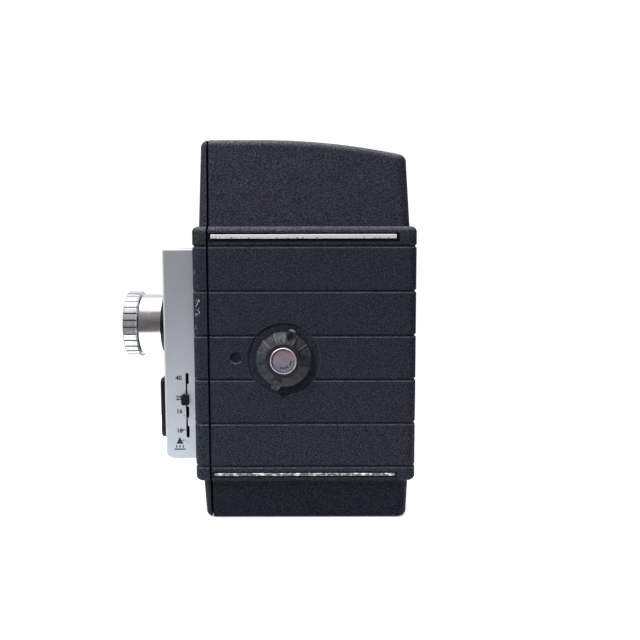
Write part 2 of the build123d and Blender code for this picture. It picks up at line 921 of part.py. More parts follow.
spool_high_z = spool_low_z + spool_pitch
take_up_wheel = gear(
    Plane(origin=(take_up_wheel_x, spool_y, spool_low_z), x_dir=(0, 1, 0), z_dir=(1, 0, 0)),
    take_up_teeth, fine_module, 2.4, 0, 90 + 180 / take_up_teeth,
)
spindle_end_x = 21.5


def spindle(builder_plane, centre_z, length):
    """Spool spindle with a chamfered end."""
    with BuildPart() as shaft:
        with BuildSketch(builder_plane):
            with Locations((spool_y, centre_z)):
                Circle(spindle_r)
        extrude(amount=length)
        chamfer(shaft.faces().sort_by(Axis.X)[-1].edges(), 1.0)
    return shaft.part


take_up_shaft = spindle(side(take_up_low_x), spool_low_z, spindle_end_x - take_up_low_x)
with BuildPart() as take_up_spindle:
    add(take_up_wheel)
    add(take_up_shaft)
save(take_up_spindle, "take_up_spindle")

supply_stud = spindle(side(plate_high_x), spool_high_z, spindle_end_x - plate_high_x)
with BuildPart() as supply_spindle:
    add(supply_stud)
save(supply_spindle, "supply_spindle")

for node, centre_z in (("take_up_spool", spool_low_z), ("supply_spool", spool_high_z)):
    with BuildPart() as core:
        with BuildSketch(side(spool_low_x + flange_thickness)):
            with Locations((spool_y, centre_z)):
                Circle(spool_core_r)
                Circle(spindle_r + running, mode=Mode.SUBTRACT)
        extrude(amount=spool_high_x - spool_low_x - 2 * flange_thickness)
        # film slit
        with BuildSketch(side(spool_low_x + flange_thickness)):
            with Locations((spool_y + spool_core_r - 4, centre_z + 2)):
                Rectangle(10, 1.0, rotation=20)
        extrude(amount=spool_high_x - spool_low_x - 2 * flange_thickness, mode=Mode.SUBTRACT)
    save(core, node + "_core")
    with BuildPart() as flanges:
        with BuildSketch(side(spool_low_x), side(spool_high_x - flange_thickness)):
            with Locations((spool_y, centre_z)):
                Circle(spool_r)
                Circle(spindle_r + running, mode=Mode.SUBTRACT)
                with PolarLocations(19.8, 3, start_angle=30):
                    Circle(2.6, mode=Mode.SUBTRACT)
        extrude(amount=flange_thickness)
    save(flanges, node + "_flanges")

with BuildPart() as keeper_post:
    with BuildSketch(side(plate_high_x)):
        with Locations((latch_y, latch_z)):
            Circle(1.9)
    extrude(amount=19.2 - plate_high_x)
    with BuildSketch(side(19.2)):
        with Locations((latch_y, latch_z)):
            Circle(1.1)
    extrude(amount=22.0 - 19.2)
    with BuildSketch(side(22.0)):
        with Locations((latch_y, latch_z)):
            SlotOverall(6.0, 2.2, rotation=90)
    extrude(amount=1.4)
save(keeper_post, "keeper_post")

# ---- Door latch ------------------------------------------------------------------------

with BuildPart() as latch_bush:
    with BuildSketch(side(belt_x - wall - 1.2)):
        with Locations((latch_y, latch_z)):
            Circle(7.5)
    extrude(amount=1.2)
    with BuildSketch(side(belt_x - wall)):
        with Locations((latch_y, latch_z)):
            Circle(latch_bush_r)
    extrude(amount=recess_x - belt_x + wall)
    with BuildSketch(side(belt_x - wall - 1.2)):
        with Locations((latch_y, latch_z)):
            Circle(latch_shaft_r + running)
    extrude(amount=5, mode=Mode.SUBTRACT)
save(latch_bush, "latch_bush")

with BuildPart() as latch_cup:
    with BuildSketch(side(latch_cup_low_x)):
        with Locations((latch_y, latch_z)):
            Circle(latch_cup_r)
    extrude(amount=latch_cup_depth)
    with BuildSketch(side(latch_cup_low_x + 1.4)):
        with Locations((latch_y, latch_z)):
            Circle(latch_cup_r - 1.3)
    extrude(amount=2.4, mode=Mode.SUBTRACT)
    with BuildSketch(side(latch_cup_low_x)):
        with Locations((latch_y, latch_z)):
            SlotOverall(7.0, 3.2, rotation=90)
    extrude(amount=2, mode=Mode.SUBTRACT)
save(latch_cup, "latch_cup")

skirt_low_x = recess_x + 0.3
slope_angle = degrees(atan((knob_r - knob_collar_r) / knob_slope_rise))
slope_low_x = skirt_low_x + knob_rim

with BuildPart() as knob_ribs:
    with BuildSketch(side(slope_low_x + 0.3)):
        with Locations((latch_y, latch_z)):
            Circle(knob_r)
    extrude(amount=knob_slope_rise, taper=slope_angle)
    with BuildSketch(side(slope_low_x)):
        with Locations((latch_y, latch_z)):
            with PolarLocations(knob_r - 2, knob_facets, start_angle=knob_rib_angle):
                Rectangle(4.0, 0.4)
    extrude(amount=4, mode=Mode.INTERSECT)

with BuildPart() as latch_knob:
    with BuildSketch(side(latch_cup_low_x + latch_cup_depth)):
        with Locations((latch_y, latch_z)):
            Circle(latch_shaft_r)
    extrude(amount=skirt_low_x - latch_cup_low_x - latch_cup_depth)
    # skirt: a plain rim under a ring of sloping facets with a thin rib at each corner
    with BuildSketch(side(skirt_low_x)):
        with Locations((latch_y, latch_z)):
            Circle(knob_r)
    extrude(amount=knob_rim)
    with BuildSketch(side(slope_low_x)):
        with Locations((latch_y, latch_z)):
            RegularPolygon(knob_r, knob_facets, rotation=knob_rib_angle)
    extrude(amount=knob_slope_rise, taper=slope_angle)
    add(knob_ribs.part)
    with BuildSketch(side(slope_low_x - 0.3)):
        with Locations((latch_y, latch_z)):
            with PolarLocations(knob_r - 1, knob_facets, start_angle=knob_rib_angle):
                Rectangle(2.0, 0.4)
    extrude(amount=0.6)
    # collar round the disc
    with BuildSketch(side(slope_low_x)):
        with Locations((latch_y, latch_z)):
            Circle(knob_collar_r)
    extrude(amount=knob_height - knob_rim)
    chamfer(latch_knob.faces().sort_by(Axis.X)[-1].edges(), 0.35)
    # low bar with a rounded lug at each end, the upper lug hollowed
    with BuildSketch(side(slope_low_x)):
        with Locations((latch_y, latch_z)):
            SlotOverall(knob_bar_length, knob_bar_width, rotation=knob_bar_angle)
    extrude(amount=knob_bar_rise)
    with BuildSketch(side(slope_low_x + knob_slope_rise)):
        with Locations((latch_y, latch_z)):
            with PolarLocations(lug_pocket_place, 1, start_angle=knob_bar_angle):
                SlotOverall(lug_pocket_length, lug_pocket_width)
    extrude(amount=-lug_pocket_depth - knob_slope_rise + knob_bar_rise, mode=Mode.SUBTRACT)
    with BuildSketch(side(skirt_low_x + knob_height)):
        with Locations((latch_y, latch_z)):
            Circle(latch_disc_r)
    extrude(amount=-1.0, mode=Mode.SUBTRACT)
save(latch_knob, "latch_knob")

with BuildPart() as latch_disc:
    with BuildSketch(side(skirt_low_x + knob_height - 1.0)):
        with Locations((latch_y, latch_z)):
            Circle(latch_disc_r)
    extrude(amount=1.1)
    chamfer(latch_disc.faces().sort_by(Axis.X)[-1].edges(), 0.25)
    with BuildSketch(side(skirt_low_x + knob_height + 0.1)):
        with Locations((latch_y, latch_z)):
            Circle(latch_disc_r - 0.6)
    extrude(amount=-0.2, mode=Mode.SUBTRACT)
save(latch_disc, "latch_disc")

# ---- Front plate and what it carries -----------------------------------------------------

plate_mid_z = (front_plate_low_z + front_plate_top_z) / 2
plate_tall = front_plate_top_z - front_plate_low_z
plate_deep = -belt_y - front_plate_y
speed_steps = [(49.7, slot_top_z), (37.5, 41.4), (slot_low_z, 34.3)]
with BuildPart() as front_plate:
    with BuildSketch(front(-belt_y)):
        with Locations((0, plate_mid_z)):
            Rectangle(2 * front_plate_x, plate_tall)
    extrude(amount=plate_deep)
    face = front_plate.faces().sort_by(Axis.Y)[0]
    fillet(face.edges().sort_by(Axis.Z)[0], front_plate_low_r)
    fillet(
        front_plate.edges().filter_by(
            lambda e: abs(e.center().Z - front_plate_top_z) < 0.1
            and e.center().Y < -belt_y - 0.1
        ),
        front_plate_top_r,
    )
    with BuildSketch(front(-belt_y)):
        with Locations((0, plate_mid_z)):
            Rectangle(
                2 * (front_plate_x - front_plate_wall), plate_tall - 2 * front_plate_wall
            )
    extrude(amount=plate_deep - front_plate_wall, mode=Mode.SUBTRACT)
    with BuildSketch(front(-belt_y)):
        with Locations((lens_x, lens_z)):
            Circle(base_spigot_r)
        with Locations((0, (cell_low_z + cell_top_z) / 2)):
            Rectangle(2 * cell_x - 6, cell_top_z - cell_low_z - 6)
    extrude(amount=20, mode=Mode.SUBTRACT)
    # stepped slot of the film speed slider
    with BuildSketch(side(front_plate_x - 2)):
        with Locations((slot_front + slot_narrow / 2, (slot_low_z + slot_top_z) / 2)):
            Rectangle(slot_narrow, slot_top_z - slot_low_z)
        for step_low, step_high in speed_steps:
            with Locations((slot_front + slot_wide / 2, (step_low + step_high) / 2)):
                Rectangle(slot_wide, step_high - step_low)
    extrude(amount=4, mode=Mode.SUBTRACT)
save(front_plate, "front_plate")

neck_half = 0.2
slider_y = slot_front + slot_narrow / 2
with BuildPart() as speed_slider:
    with BuildSketch(side(front_plate_x + 0.2)):
        with Locations((slider_y - 0.4, speed_slider_z)):
            RectangleRounded(2.8, 3.8, 0.6)
    extrude(amount=1.4)
    fillet(speed_slider.faces().sort_by(Axis.X)[-1].edges(), 0.35)
    with BuildSketch(side(front_plate_x - 2.0)):
        with Locations((slider_y, speed_slider_z)):
            Rectangle(2 * neck_half, 2.4)
    extrude(amount=2.2)
    with BuildSketch(side(front_plate_x - 3.6)):
        with Locations((slider_y, speed_slider_z)):
            Rectangle(5.0, 5.0)
    extrude(amount=1.9)
save(speed_slider, "film_speed_slider")

cell_mid_z = (cell_low_z + cell_top_z) / 2
cell_tall = cell_top_z - cell_low_z
with BuildPart() as photocell_frame:
    with BuildSketch(front(front_plate_y)):
        with Locations((0, cell_mid_z)):
            RectangleRounded(2 * cell_x, cell_tall, 2.0)
    extrude(amount=3.0)
    fillet(photocell_frame.faces().sort_by(Axis.Y)[0].edges(), 1.0)
    with BuildSketch(front(front_plate_y)):
        with Locations((0, cell_mid_z)):
            Rectangle(2 * cell_x - 6, cell_tall - 6)
    extrude(amount=3.0, mode=Mode.SUBTRACT)
save(photocell_frame, "photocell_frame")

with BuildPart() as photocell_window:
    with BuildSketch(front(front_plate_y + 0.6)):
        with Locations((0, cell_mid_z)):
            Rectangle(2 * cell_x - 6, cell_tall - 6)
    extrude(amount=1.4)
    with BuildSketch(front(front_plate_y - 0.8)):
        with Locations((0, cell_mid_z)):
            with GridLocations(3.2, 3.2, 10, 5):
                Circle(1.4)
    extrude(amount=1.2, taper=20)
save(photocell_window, "photocell_window")

with BuildPart() as selenium_cell:
    with BuildSketch(front(front_plate_y + front_plate_wall + 1.0)):
        with Locations((0, cell_mid_z)):
            Rectangle(2 * cell_x - 3, cell_tall - 3)
    extrude(amount=1.0)
save(selenium_cell, "selenium_cell")

with BuildPart() as meter_movement:
    with BuildSketch(front(-40.5)):
        with Locations((iris_x, lens_z)):
            Circle(7.0)
            Circle(iris_shaft_r + running, mode=Mode.SUBTRACT)
    extrude(amount=5.0)
save(meter_movement, "meter_movement")

vane_r = lens_x - iris_x
openings = [(0, 5.0), (-8, 4.0), (-15, 2.8), (-21, 1.6)]
with BuildPart() as iris_vane:
    with BuildSketch(front(iris_plane_y)):
        with Locations((iris_x, lens_z)):
            Circle(2.2)
            Rectangle(vane_r - 4, 2.4, align=(Align.MIN, Align.CENTER))
        with BuildLine():
            outer_arc = CenterArc((iris_x, lens_z), vane_r + 6.5, -28, 48)
            inner_arc = CenterArc((iris_x, lens_z), vane_r - 6.5, -28, 48)
            Line(outer_arc @ 0, inner_arc @ 0)
            Line(outer_arc @ 1, inner_arc @ 1)
        make_face()
        for angle, opening_r in openings:
            turn = radians(angle)
            with Locations((iris_x + vane_r * cos(turn), lens_z + vane_r * sin(turn))):
                Circle(opening_r, mode=Mode.SUBTRACT)
    extrude(amount=0.4)
    with BuildSketch(front(-42.0)):
        with Locations((iris_x, lens_z)):
            Circle(iris_shaft_r)
    extrude(amount=-42.0 - iris_plane_y)
save(iris_vane, "iris_vane")

# ---- Taking lens -----------------------------------------------------------------------------

with BuildPart() as lens_base_ring:
    with BuildSketch(front(front_plate_y)):
        with Locations((lens_x, lens_z)):
            Circle(base_ring_r)
    extrude(amount=front_plate_y - base_ring_front_y)
    chamfer(lens_base_ring.faces().sort_by(Axis.Y)[0].edges(), 0.4)
    with BuildSketch(front(front_plate_y + 1.8)):
        with Locations((lens_x, lens_z)):
            Circle(base_spigot_r)
    extrude(amount=1.8)
    with BuildSketch(front(front_plate_y + 1.8)):
        with Locations((lens_x, lens_z)):
            Circle(barrel_spigot_r)
    extrude(amount=8, mode=Mode.SUBTRACT)
save(lens_base_ring, "lens_base_ring")

with BuildPart() as lens_barrel:
    with BuildSketch(front(barrel_back_y)):
        with Locations((lens_x, lens_z)):
            Circle(barrel_spigot_r)
    extrude(amount=barrel_back_y - base_ring_front_y)
    with BuildSketch(front(base_ring_front_y)):
        with Locations((lens_x, lens_z)):
            Circle(barrel_outer_r)
    extrude(amount=base_ring_front_y - ring_back_y - ring_gap)
    chamfer(
        lens_barrel.edges().filter_by(GeomType.CIRCLE).filter_by(
            lambda e: abs(e.radius - barrel_outer_r) < 0.01
        ),
        0.3,
    )
    with BuildSketch(front(barrel_back_y)):
        with Locations((lens_x, lens_z)):
            Circle(rear_glass_r)
    extrude(amount=20, mode=Mode.SUBTRACT)
    with BuildSketch(front(-56.0)):
        with Locations((lens_x, lens_z)):
            Circle(barrel_bore_r)
    extrude(amount=10, mode=Mode.SUBTRACT)
save(lens_barrel, "lens_barrel")

with BuildPart() as focus_ring:
    with BuildSketch(front(ring_back_y)):
        with Locations((lens_x, lens_z)):
            Circle(ring_r)
    extrude(amount=ring_back_y - lens_front_y)
    chamfer(focus_ring.edges(), 0.3)
    with BuildSketch(front(ring_back_y)):
        with Locations((lens_x, lens_z)):
            with PolarLocations(ring_r, ring_lands):
                Rectangle(1.4, 0.55)
    extrude(amount=ring_back_y - lens_front_y, mode=Mode.SUBTRACT)
    with BuildSketch(front(-57.0)):
        with Locations((lens_x, lens_z)):
            Circle(barrel_bore_r - 0.1)
    extrude(amount=-57.0 - ring_back_y)
    with BuildSketch(front(-56.5)):
        with Locations((lens_x, lens_z)):
            Circle(cell_tube_r + running)
    extrude(amount=15, mode=Mode.SUBTRACT)
save(focus_ring, "focus_ring")

cell_front_y = lens_front_y + focus_travel
glass_back_y = cell_front_y + 4.2
with BuildPart() as front_lens_cell:
    with BuildSketch(front(-58.0)):
        with Locations((lens_x, lens_z)):
            Circle(cell_tube_r)
    extrude(amount=-58.0 - cell_front_y)
    with BuildSketch(front(-58.0)):
        with Locations((lens_x, lens_z)):
            Circle(front_glass_r)
    extrude(amount=-58.0 - cell_front_y, mode=Mode.SUBTRACT)
    # conical mouth in front of the glass
    with BuildSketch(front(cell_front_y)):
        with Locations((lens_x, lens_z)):
            Circle(front_glass_r + 1.1)
    extrude(amount=-1.1, taper=45, mode=Mode.SUBTRACT)
save(front_lens_cell, "front_lens_cell")

with BuildPart() as front_lens:
    with BuildSketch(front(glass_back_y)):
        with Locations((lens_x, lens_z)):
            Circle(front_glass_r)
    extrude(amount=2.6)
    fillet(front_lens.faces().sort_by(Axis.Y)[0].edges(), 1.2)
save(front_lens, "front_lens")

with BuildPart() as rear_lenses:
    with BuildSketch(front(barrel_back_y - 1.0)):
        with Locations((lens_x, lens_z)):
            Circle(rear_glass_r)
    extrude(amount=2.2)
    with BuildSketch(front(-37.0)):
        with Locations((lens_x, lens_z)):
            Circle(rear_glass_r)
    extrude(amount=2.2)
save(rear_lenses, "rear_lenses")

with BuildPart() as lens_rear_tube:
    with BuildSketch(front(-35.0)):
        with Locations((lens_x, lens_z)):
            Circle(rear_tube_r)
    extrude(amount=-35.0 + 45.0)
    with BuildSketch(front(-belt_y)):
        with Locations((lens_x, lens_z)):
            Circle(rear_tube_r + 2.5)
    extrude(amount=1.5)
    with BuildSketch(front(-34.0)):
        with Locations((lens_x, lens_z)):
            Circle(rear_glass_r)
    extrude(amount=14, mode=Mode.SUBTRACT)
save(lens_rear_tube, "lens_rear_tube")

# ---- Viewfinder ------------------------------------------------------------------------------

with BuildPart() as viewfinder_tube:
    with BuildSketch(front(finder_tube_back)):
        with Locations((lens_x, finder_z)):
            Rectangle(finder_tube_x, finder_tube_z)
            Rectangle(
                finder_tube_x - 2 * finder_wall,
                finder_tube_z - 2 * finder_wall,
                mode=Mode.SUBTRACT,
            )
    extrude(amount=finder_tube_back - seam_y)
save(viewfinder_tube, "viewfinder_tube")

# front window and eye lens of the viewfinder
with BuildPart() as finder_lenses:
    with BuildSketch(front(seam_y - 0.6)):
        with Locations((lens_x, finder_z)):
            Rectangle(finder_window_x, finder_window_z)
    extrude(amount=1.8)
    with BuildSketch(front(36.0)):
        with Locations((lens_x, finder_z)):
            Circle(eyepiece_r - 2)
    extrude(amount=1.8)
save(finder_lenses, "finder_lenses")

with BuildPart() as eyepiece_ring:
    with BuildSketch(front(36.6)):
        with Locations((lens_x, finder_z)):
            Circle(eyepiece_r)
            Circle(eyepiece_r - 2, mode=Mode.SUBTRACT)
    extrude(amount=3.1)
save(eyepiece_ring, "eyepiece_ring")

# ---- Footage counter, run button, wind key ------------------------------------------------------

inner_face_x = -(belt_x - wall)
with BuildPart() as counter_window:
    with BuildSketch(side(inner_face_x)):
        with Locations((dial_y + dial_window_offset, dial_z)):
            Circle(dial_window_r)
    extrude(amount=-1.6)
save(counter_window, "counter_window")

with BuildPart() as footage_dial:
    with BuildSketch(side(inner_face_x + 0.5)):
        with Locations((dial_y, dial_z)):
            Circle(11.5)
            Circle(dial_stub_r + running, mode=Mode.SUBTRACT)
    extrude(amount=0.8)
save(footage_dial, "footage_dial")

with BuildPart() as run_button:
    with BuildSketch(side(-belt_x - 0.3)):
        with Locations((button_y, button_z)):
            RectangleRounded(8.0, 9.0, 1.5)
    extrude(amount=-3.0)
    fillet(run_button.faces().sort_by(Axis.X)[0].edges(), 0.8)
    # three finger ridges
    with BuildSketch(side(-belt_x - 3.3)):
        with Locations((button_y, button_z)):
            with GridLocations(1, 2.2, 1, 3):
                Rectangle(5.5, 0.9)
    extrude(amount=-0.6)
    with BuildSketch(side(-belt_x - 0.3)):
        with Locations((button_y, button_z)):
            Rectangle(button_neck_y, button_neck_z)
    extrude(amount=wall + 0.6)
    with BuildSketch(side(inner_face_x + 0.3)):
        with Locations((button_y, button_z)):
            Rectangle(button_neck_y + 4, button_neck_z + 2)
    extrude(amount=1.5)
save(run_button, "run_button")

with BuildPart() as key_escutcheon:
    with BuildSketch(side(-recess_x)):
        with Locations((spool_y, barrel_z)):
            Circle(key_recess_r - 0.2)
            Circle(arbor_r + 1.5, mode=Mode.SUBTRACT)
    extrude(amount=-1.2)
    chamfer(key_escutcheon.faces().sort_by(Axis.X)[0].edges(), 0.3)
save(key_escutcheon, "key_escutcheon")

key_back_x = -recess_x - 1.5
with BuildPart() as key_arbor:
    with BuildSketch(side(-14.8)):
        with Locations((spool_y, barrel_z)):
            Circle(arbor_r)
    extrude(amount=key_back_x + 14.8)
    with BuildSketch(side(drum_low_x + 1.6)):
        with Locations((spool_y, barrel_z)):
            Circle(spring_inner_r - 0.3)
    extrude(amount=gear_low_x - drum_low_x - 2.0)
save(key_arbor, "key_arbor")

with BuildPart() as key_hub:
    with BuildSketch(side(key_back_x)):
        with Locations((spool_y, barrel_z)):
            Circle(key_hub_r)
    extrude(amount=-key_flange)
    chamfer(key_hub.faces().sort_by(Axis.X)[0].edges(), 0.3)
    with BuildSketch(side(key_back_x - key_flange)):
        with Locations((spool_y, barrel_z)):
            RectangleRounded(5.6, 12.0, 1.0)
    extrude(amount=key_pin_x - key_back_x)
    with BuildSketch(level(barrel_z - key_pin_reach)):
        with Locations((key_pin_x, spool_y)):
            Circle(key_pin_r)
    extrude(amount=2 * key_pin_reach)
save(key_hub, "key_hub")

leg_low = 6.4
leg_high = 9.4
with BuildPart() as key_bail:
    with BuildSketch(side(key_pin_x - bail_half)):
        with Locations((spool_y + bail_reach / 2, barrel_z)):
            RectangleRounded(bail_reach, 2 * leg_high, 2.9)
        with Locations((spool_y, barrel_z)):
            Rectangle(bail_reach - 3, 2 * leg_high, align=(Align.MIN, Align.CENTER))
            Rectangle(bail_reach - 3, 2 * leg_low, align=(Align.MIN, Align.CENTER), mode=Mode.SUBTRACT)
    extrude(amount=2 * bail_half)
    for eye_z in (barrel_z - leg_high, barrel_z + leg_low):
        with BuildSketch(level(eye_z)):
            with Locations((key_pin_x, spool_y)):
                Circle(key_pin_r + 1.1)
        extrude(amount=leg_high - leg_low)
    with BuildSketch(level(barrel_z - 15)):
        with Locations((key_pin_x, spool_y)):
            Circle(key_pin_r + running)
    extrude(amount=30, mode=Mode.SUBTRACT)
save(key_bail, "key_bail")
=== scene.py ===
import json
import math

import bmesh
import bpy
from mathutils import Matrix, Vector


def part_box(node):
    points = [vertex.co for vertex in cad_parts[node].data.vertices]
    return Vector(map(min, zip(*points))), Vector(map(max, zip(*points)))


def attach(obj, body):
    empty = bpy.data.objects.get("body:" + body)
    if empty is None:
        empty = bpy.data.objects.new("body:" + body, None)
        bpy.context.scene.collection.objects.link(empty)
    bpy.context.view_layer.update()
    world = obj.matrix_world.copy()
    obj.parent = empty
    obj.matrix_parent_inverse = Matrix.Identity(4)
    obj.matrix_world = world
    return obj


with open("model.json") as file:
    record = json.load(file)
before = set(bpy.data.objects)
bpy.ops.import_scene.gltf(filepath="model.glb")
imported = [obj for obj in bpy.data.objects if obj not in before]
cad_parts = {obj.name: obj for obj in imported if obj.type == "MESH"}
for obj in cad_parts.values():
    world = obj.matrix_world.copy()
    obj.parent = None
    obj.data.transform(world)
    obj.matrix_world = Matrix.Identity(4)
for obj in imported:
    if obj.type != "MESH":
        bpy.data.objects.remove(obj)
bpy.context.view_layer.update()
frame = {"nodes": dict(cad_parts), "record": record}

# Everything below is in metres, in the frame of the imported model: +Z up, the lens
# faces -Y, the film door is at +X.  MM turns a length in millimetres into metres.
MM = 0.001

# ---- Places taken from the frame ------------------------------------------------

BELT_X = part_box("film_door")[1].x
FRONT_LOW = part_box("front_casing")[0]
PLATE_LOW, PLATE_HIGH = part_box("front_plate")
DISC_LOW, DISC_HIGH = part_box("latch_disc")
STRIP_LOW, STRIP_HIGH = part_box("door_trim_strips")
RING_LOW, RING_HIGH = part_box("focus_ring")
KEY_LOW, KEY_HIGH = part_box("key_escutcheon")
DIAL_LOW, DIAL_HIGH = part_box("footage_dial")

LATCH = (DISC_LOW + DISC_HIGH) / 2
KEY = (KEY_LOW + KEY_HIGH) / 2
LENS = (RING_LOW + RING_HIGH) / 2
DIAL = (DIAL_LOW + DIAL_HIGH) / 2
RING_R = (RING_HIGH.z - RING_LOW.z) / 2

# ---- Places on the surfaces -------------------------------------------------------

SIDE_X = 20 * MM           # the side faces lie past this distance from the middle
LATCH_RECESS_R = 13.1 * MM
KEY_RECESS_R = 15.2 * MM
DIMPLE_Y = -24.5 * MM
DIMPLE_Z = 60 * MM
DIMPLE_R = 1.9 * MM
# smooth paint about the trim strips: how deep, how far past their ends, and at what heights
STRIP_PAINT_DEPTH = 0.6 * MM
STRIP_PAINT_REACH = 0.9 * MM
STRIP_PAINT_LOWER = (STRIP_LOW.z - 0.5 * MM, STRIP_LOW.z + 1.5 * MM)
STRIP_PAINT_UPPER = (STRIP_HIGH.z - 2.6 * MM, STRIP_HIGH.z + 0.5 * MM)
STRIPS_MIDDLE = (STRIP_LOW.z + STRIP_HIGH.z) / 2
PLATE_WEAR = (46 * MM, 38 * MM) # heights where the front plate's wear starts and is full
KNOB_COLLAR_R = 6.3 * MM
KNOB_FACET = math.radians(360 / 14)
KNOB_FIRST_RIB = math.radians(8)
KNOB_BAR_ANGLE = math.radians(73)
LUG_PLACE = 10 * MM        # from the knob's middle along its bar
LUG_R = 1.9 * MM
DISC_FACE_R = 4.15 * MM
GROOVE_TOP = 99.5 * MM     # middle of the highest groove round the belt
GROOVE_PITCH = 15.86 * MM
GROOVE_LIP = 0.55 * MM     # from a groove's middle down to its lip
LIP_HALF = 0.13 * MM
FOOT_TOP = 14.2 * MM
FOOT_SHADE = 0.42            # how far the foot's paint goes towards black, as painted shade
HOOD_BASE = 101 * MM
# chips near the belt's front edge: height, half height, distance from the edge, share
CHIP_CLUSTERS = (
    (78 * MM, 3.4 * MM, 1.7 * MM, 1.0),
    (69.8 * MM, 1.8 * MM, 1.0 * MM, 0.9),
    (89.5 * MM, 1.8 * MM, 1.0 * MM, 0.85),
)
CHIP_HALF_WIDTH = 0.8 * MM

# ---- Markings ---------------------------------------------------------------------

MARK_THICKNESS = 0.03 * MM
GLYPH_WEIGHT = 0.08 * MM
CAP_HEIGHT = 0.73          # of the built-in face, for a size of 1
SPEED_Y = -45.8 * MM
SPEED_MARKS = (("40", 52 * MM), ("25", 44.6 * MM), ("16", 39.7 * MM), ("10", 32.5 * MM))
SPEED_GLYPHS = 1.6 * MM
POINTER_Z = 28.9 * MM
POINTER = ((-1.3 * MM, -1.2 * MM), (1.3 * MM, -1.2 * MM), (0, 1.4 * MM))
BASE_LINE_Z = 25.7 * MM
BASE_LINE = (4.1 * MM, 0.42 * MM)
BASE_TICK = (0.45 * MM, 0.9 * MM)
BASE_TICK_STEP = 1.2 * MM
BASE_TICK_RISE = 1 * MM
LATCH_TICK = (0.85 * MM, 0.42 * MM)
LATCH_TICK_R = 2.6 * MM
LATCH_TICK_ANGLES = (-108, -90, -72, -54)
DISC_SINK = 0.2 * MM       # the disc's face lies this far behind its rim
COUNTER_GLYPHS = 2.4 * MM
COUNTER_GLYPH_R = 6 * MM
COUNTER_TICK = (1.1 * MM, 0.22 * MM)
COUNTER_TICK_R = 8.4 * MM
COUNTER_STEPS = 6
COUNTER_STEP = math.radians(50)
FEET_PER_STEP = 5
# curved arrows: radius, width, and the angles in degrees that they run between
LATCH_ARROW = (2.7 * MM, 0.34 * MM, -38, -8)
WINDING_ARROW = (12.6 * MM, 0.7 * MM, 150, 30)

# ---- Studio -----------------------------------------------------------------------

FLOOR_R = 170 * MM
FLOOR_GLOW = 0.5
CEILING = 2.5
FOCAL_LENGTH = 43.87       # for a sensor 36 mm wide
CAMERA_PLACE = (303.8 * MM, 5.5 * MM, 101.7 * MM)
CAMERA_PITCH = math.radians(5.87)
CAMERA_ROLL = math.radians(0.12)


# ---- Node helpers ------------------------------------------------------------------


class Nodes:
    """Short ways to add nodes to one tree."""

    def __init__(self, tree):
        self.tree = tree

    def put(self, socket, value):
        """Give a node's input a number, a colour or another node's output."""
        if isinstance(value, bpy.types.NodeSocket):
            self.tree.links.new(value, socket)
        else:
            socket.default_value = value

    def split(self, vector):
        """The three coordinates of a vector."""
        node = self.tree.nodes.new("ShaderNodeSeparateXYZ")
        self.tree.links.new(vector, node.inputs[0])
        return node.outputs

    def math(self, operation, *values):
        """Result of one arithmetic node."""
        node = self.tree.nodes.new("ShaderNodeMath")
        node.operation = operation
        for socket, value in zip(node.inputs, values):
            self.put(socket, value)
        return node.outputs[0]

    def product(self, first, *others):
        """Two or more values multiplied together."""
        for other in others:
            first = self.math("MULTIPLY", first, other)
        return first

    def remap(self, value, low, high, to_low=0.0, to_high=1.0, interpolation="LINEAR"):
        """Clamped remap of one range onto another."""
        node = self.tree.nodes.new("ShaderNodeMapRange")
        node.clamp = True
        node.interpolation_type = interpolation
        self.put(node.inputs["Value"], value)
        node.inputs["From Min"].default_value = low
        node.inputs["From Max"].default_value = high
        node.inputs["To Min"].default_value = to_low
        node.inputs["To Max"].default_value = to_high
        return node.outputs["Result"]

    def mix(self, factor, a, b):
        """Blend of two colours."""
        node = self.tree.nodes.new("ShaderNodeMix")
        node.data_type = "RGBA"
        self.put(node.inputs["Factor"], factor)
        self.put(node.inputs[6], a)
        self.put(node.inputs[7], b)
        return node.outputs[2]

    def blend(self, factor, a, b):
        """Blend of two numbers."""
        node = self.tree.nodes.new("ShaderNodeMix")
        self.put(node.inputs[0], factor)
        self.put(node.inputs[2], a)
        self.put(node.inputs[3], b)
        return node.outputs[0]


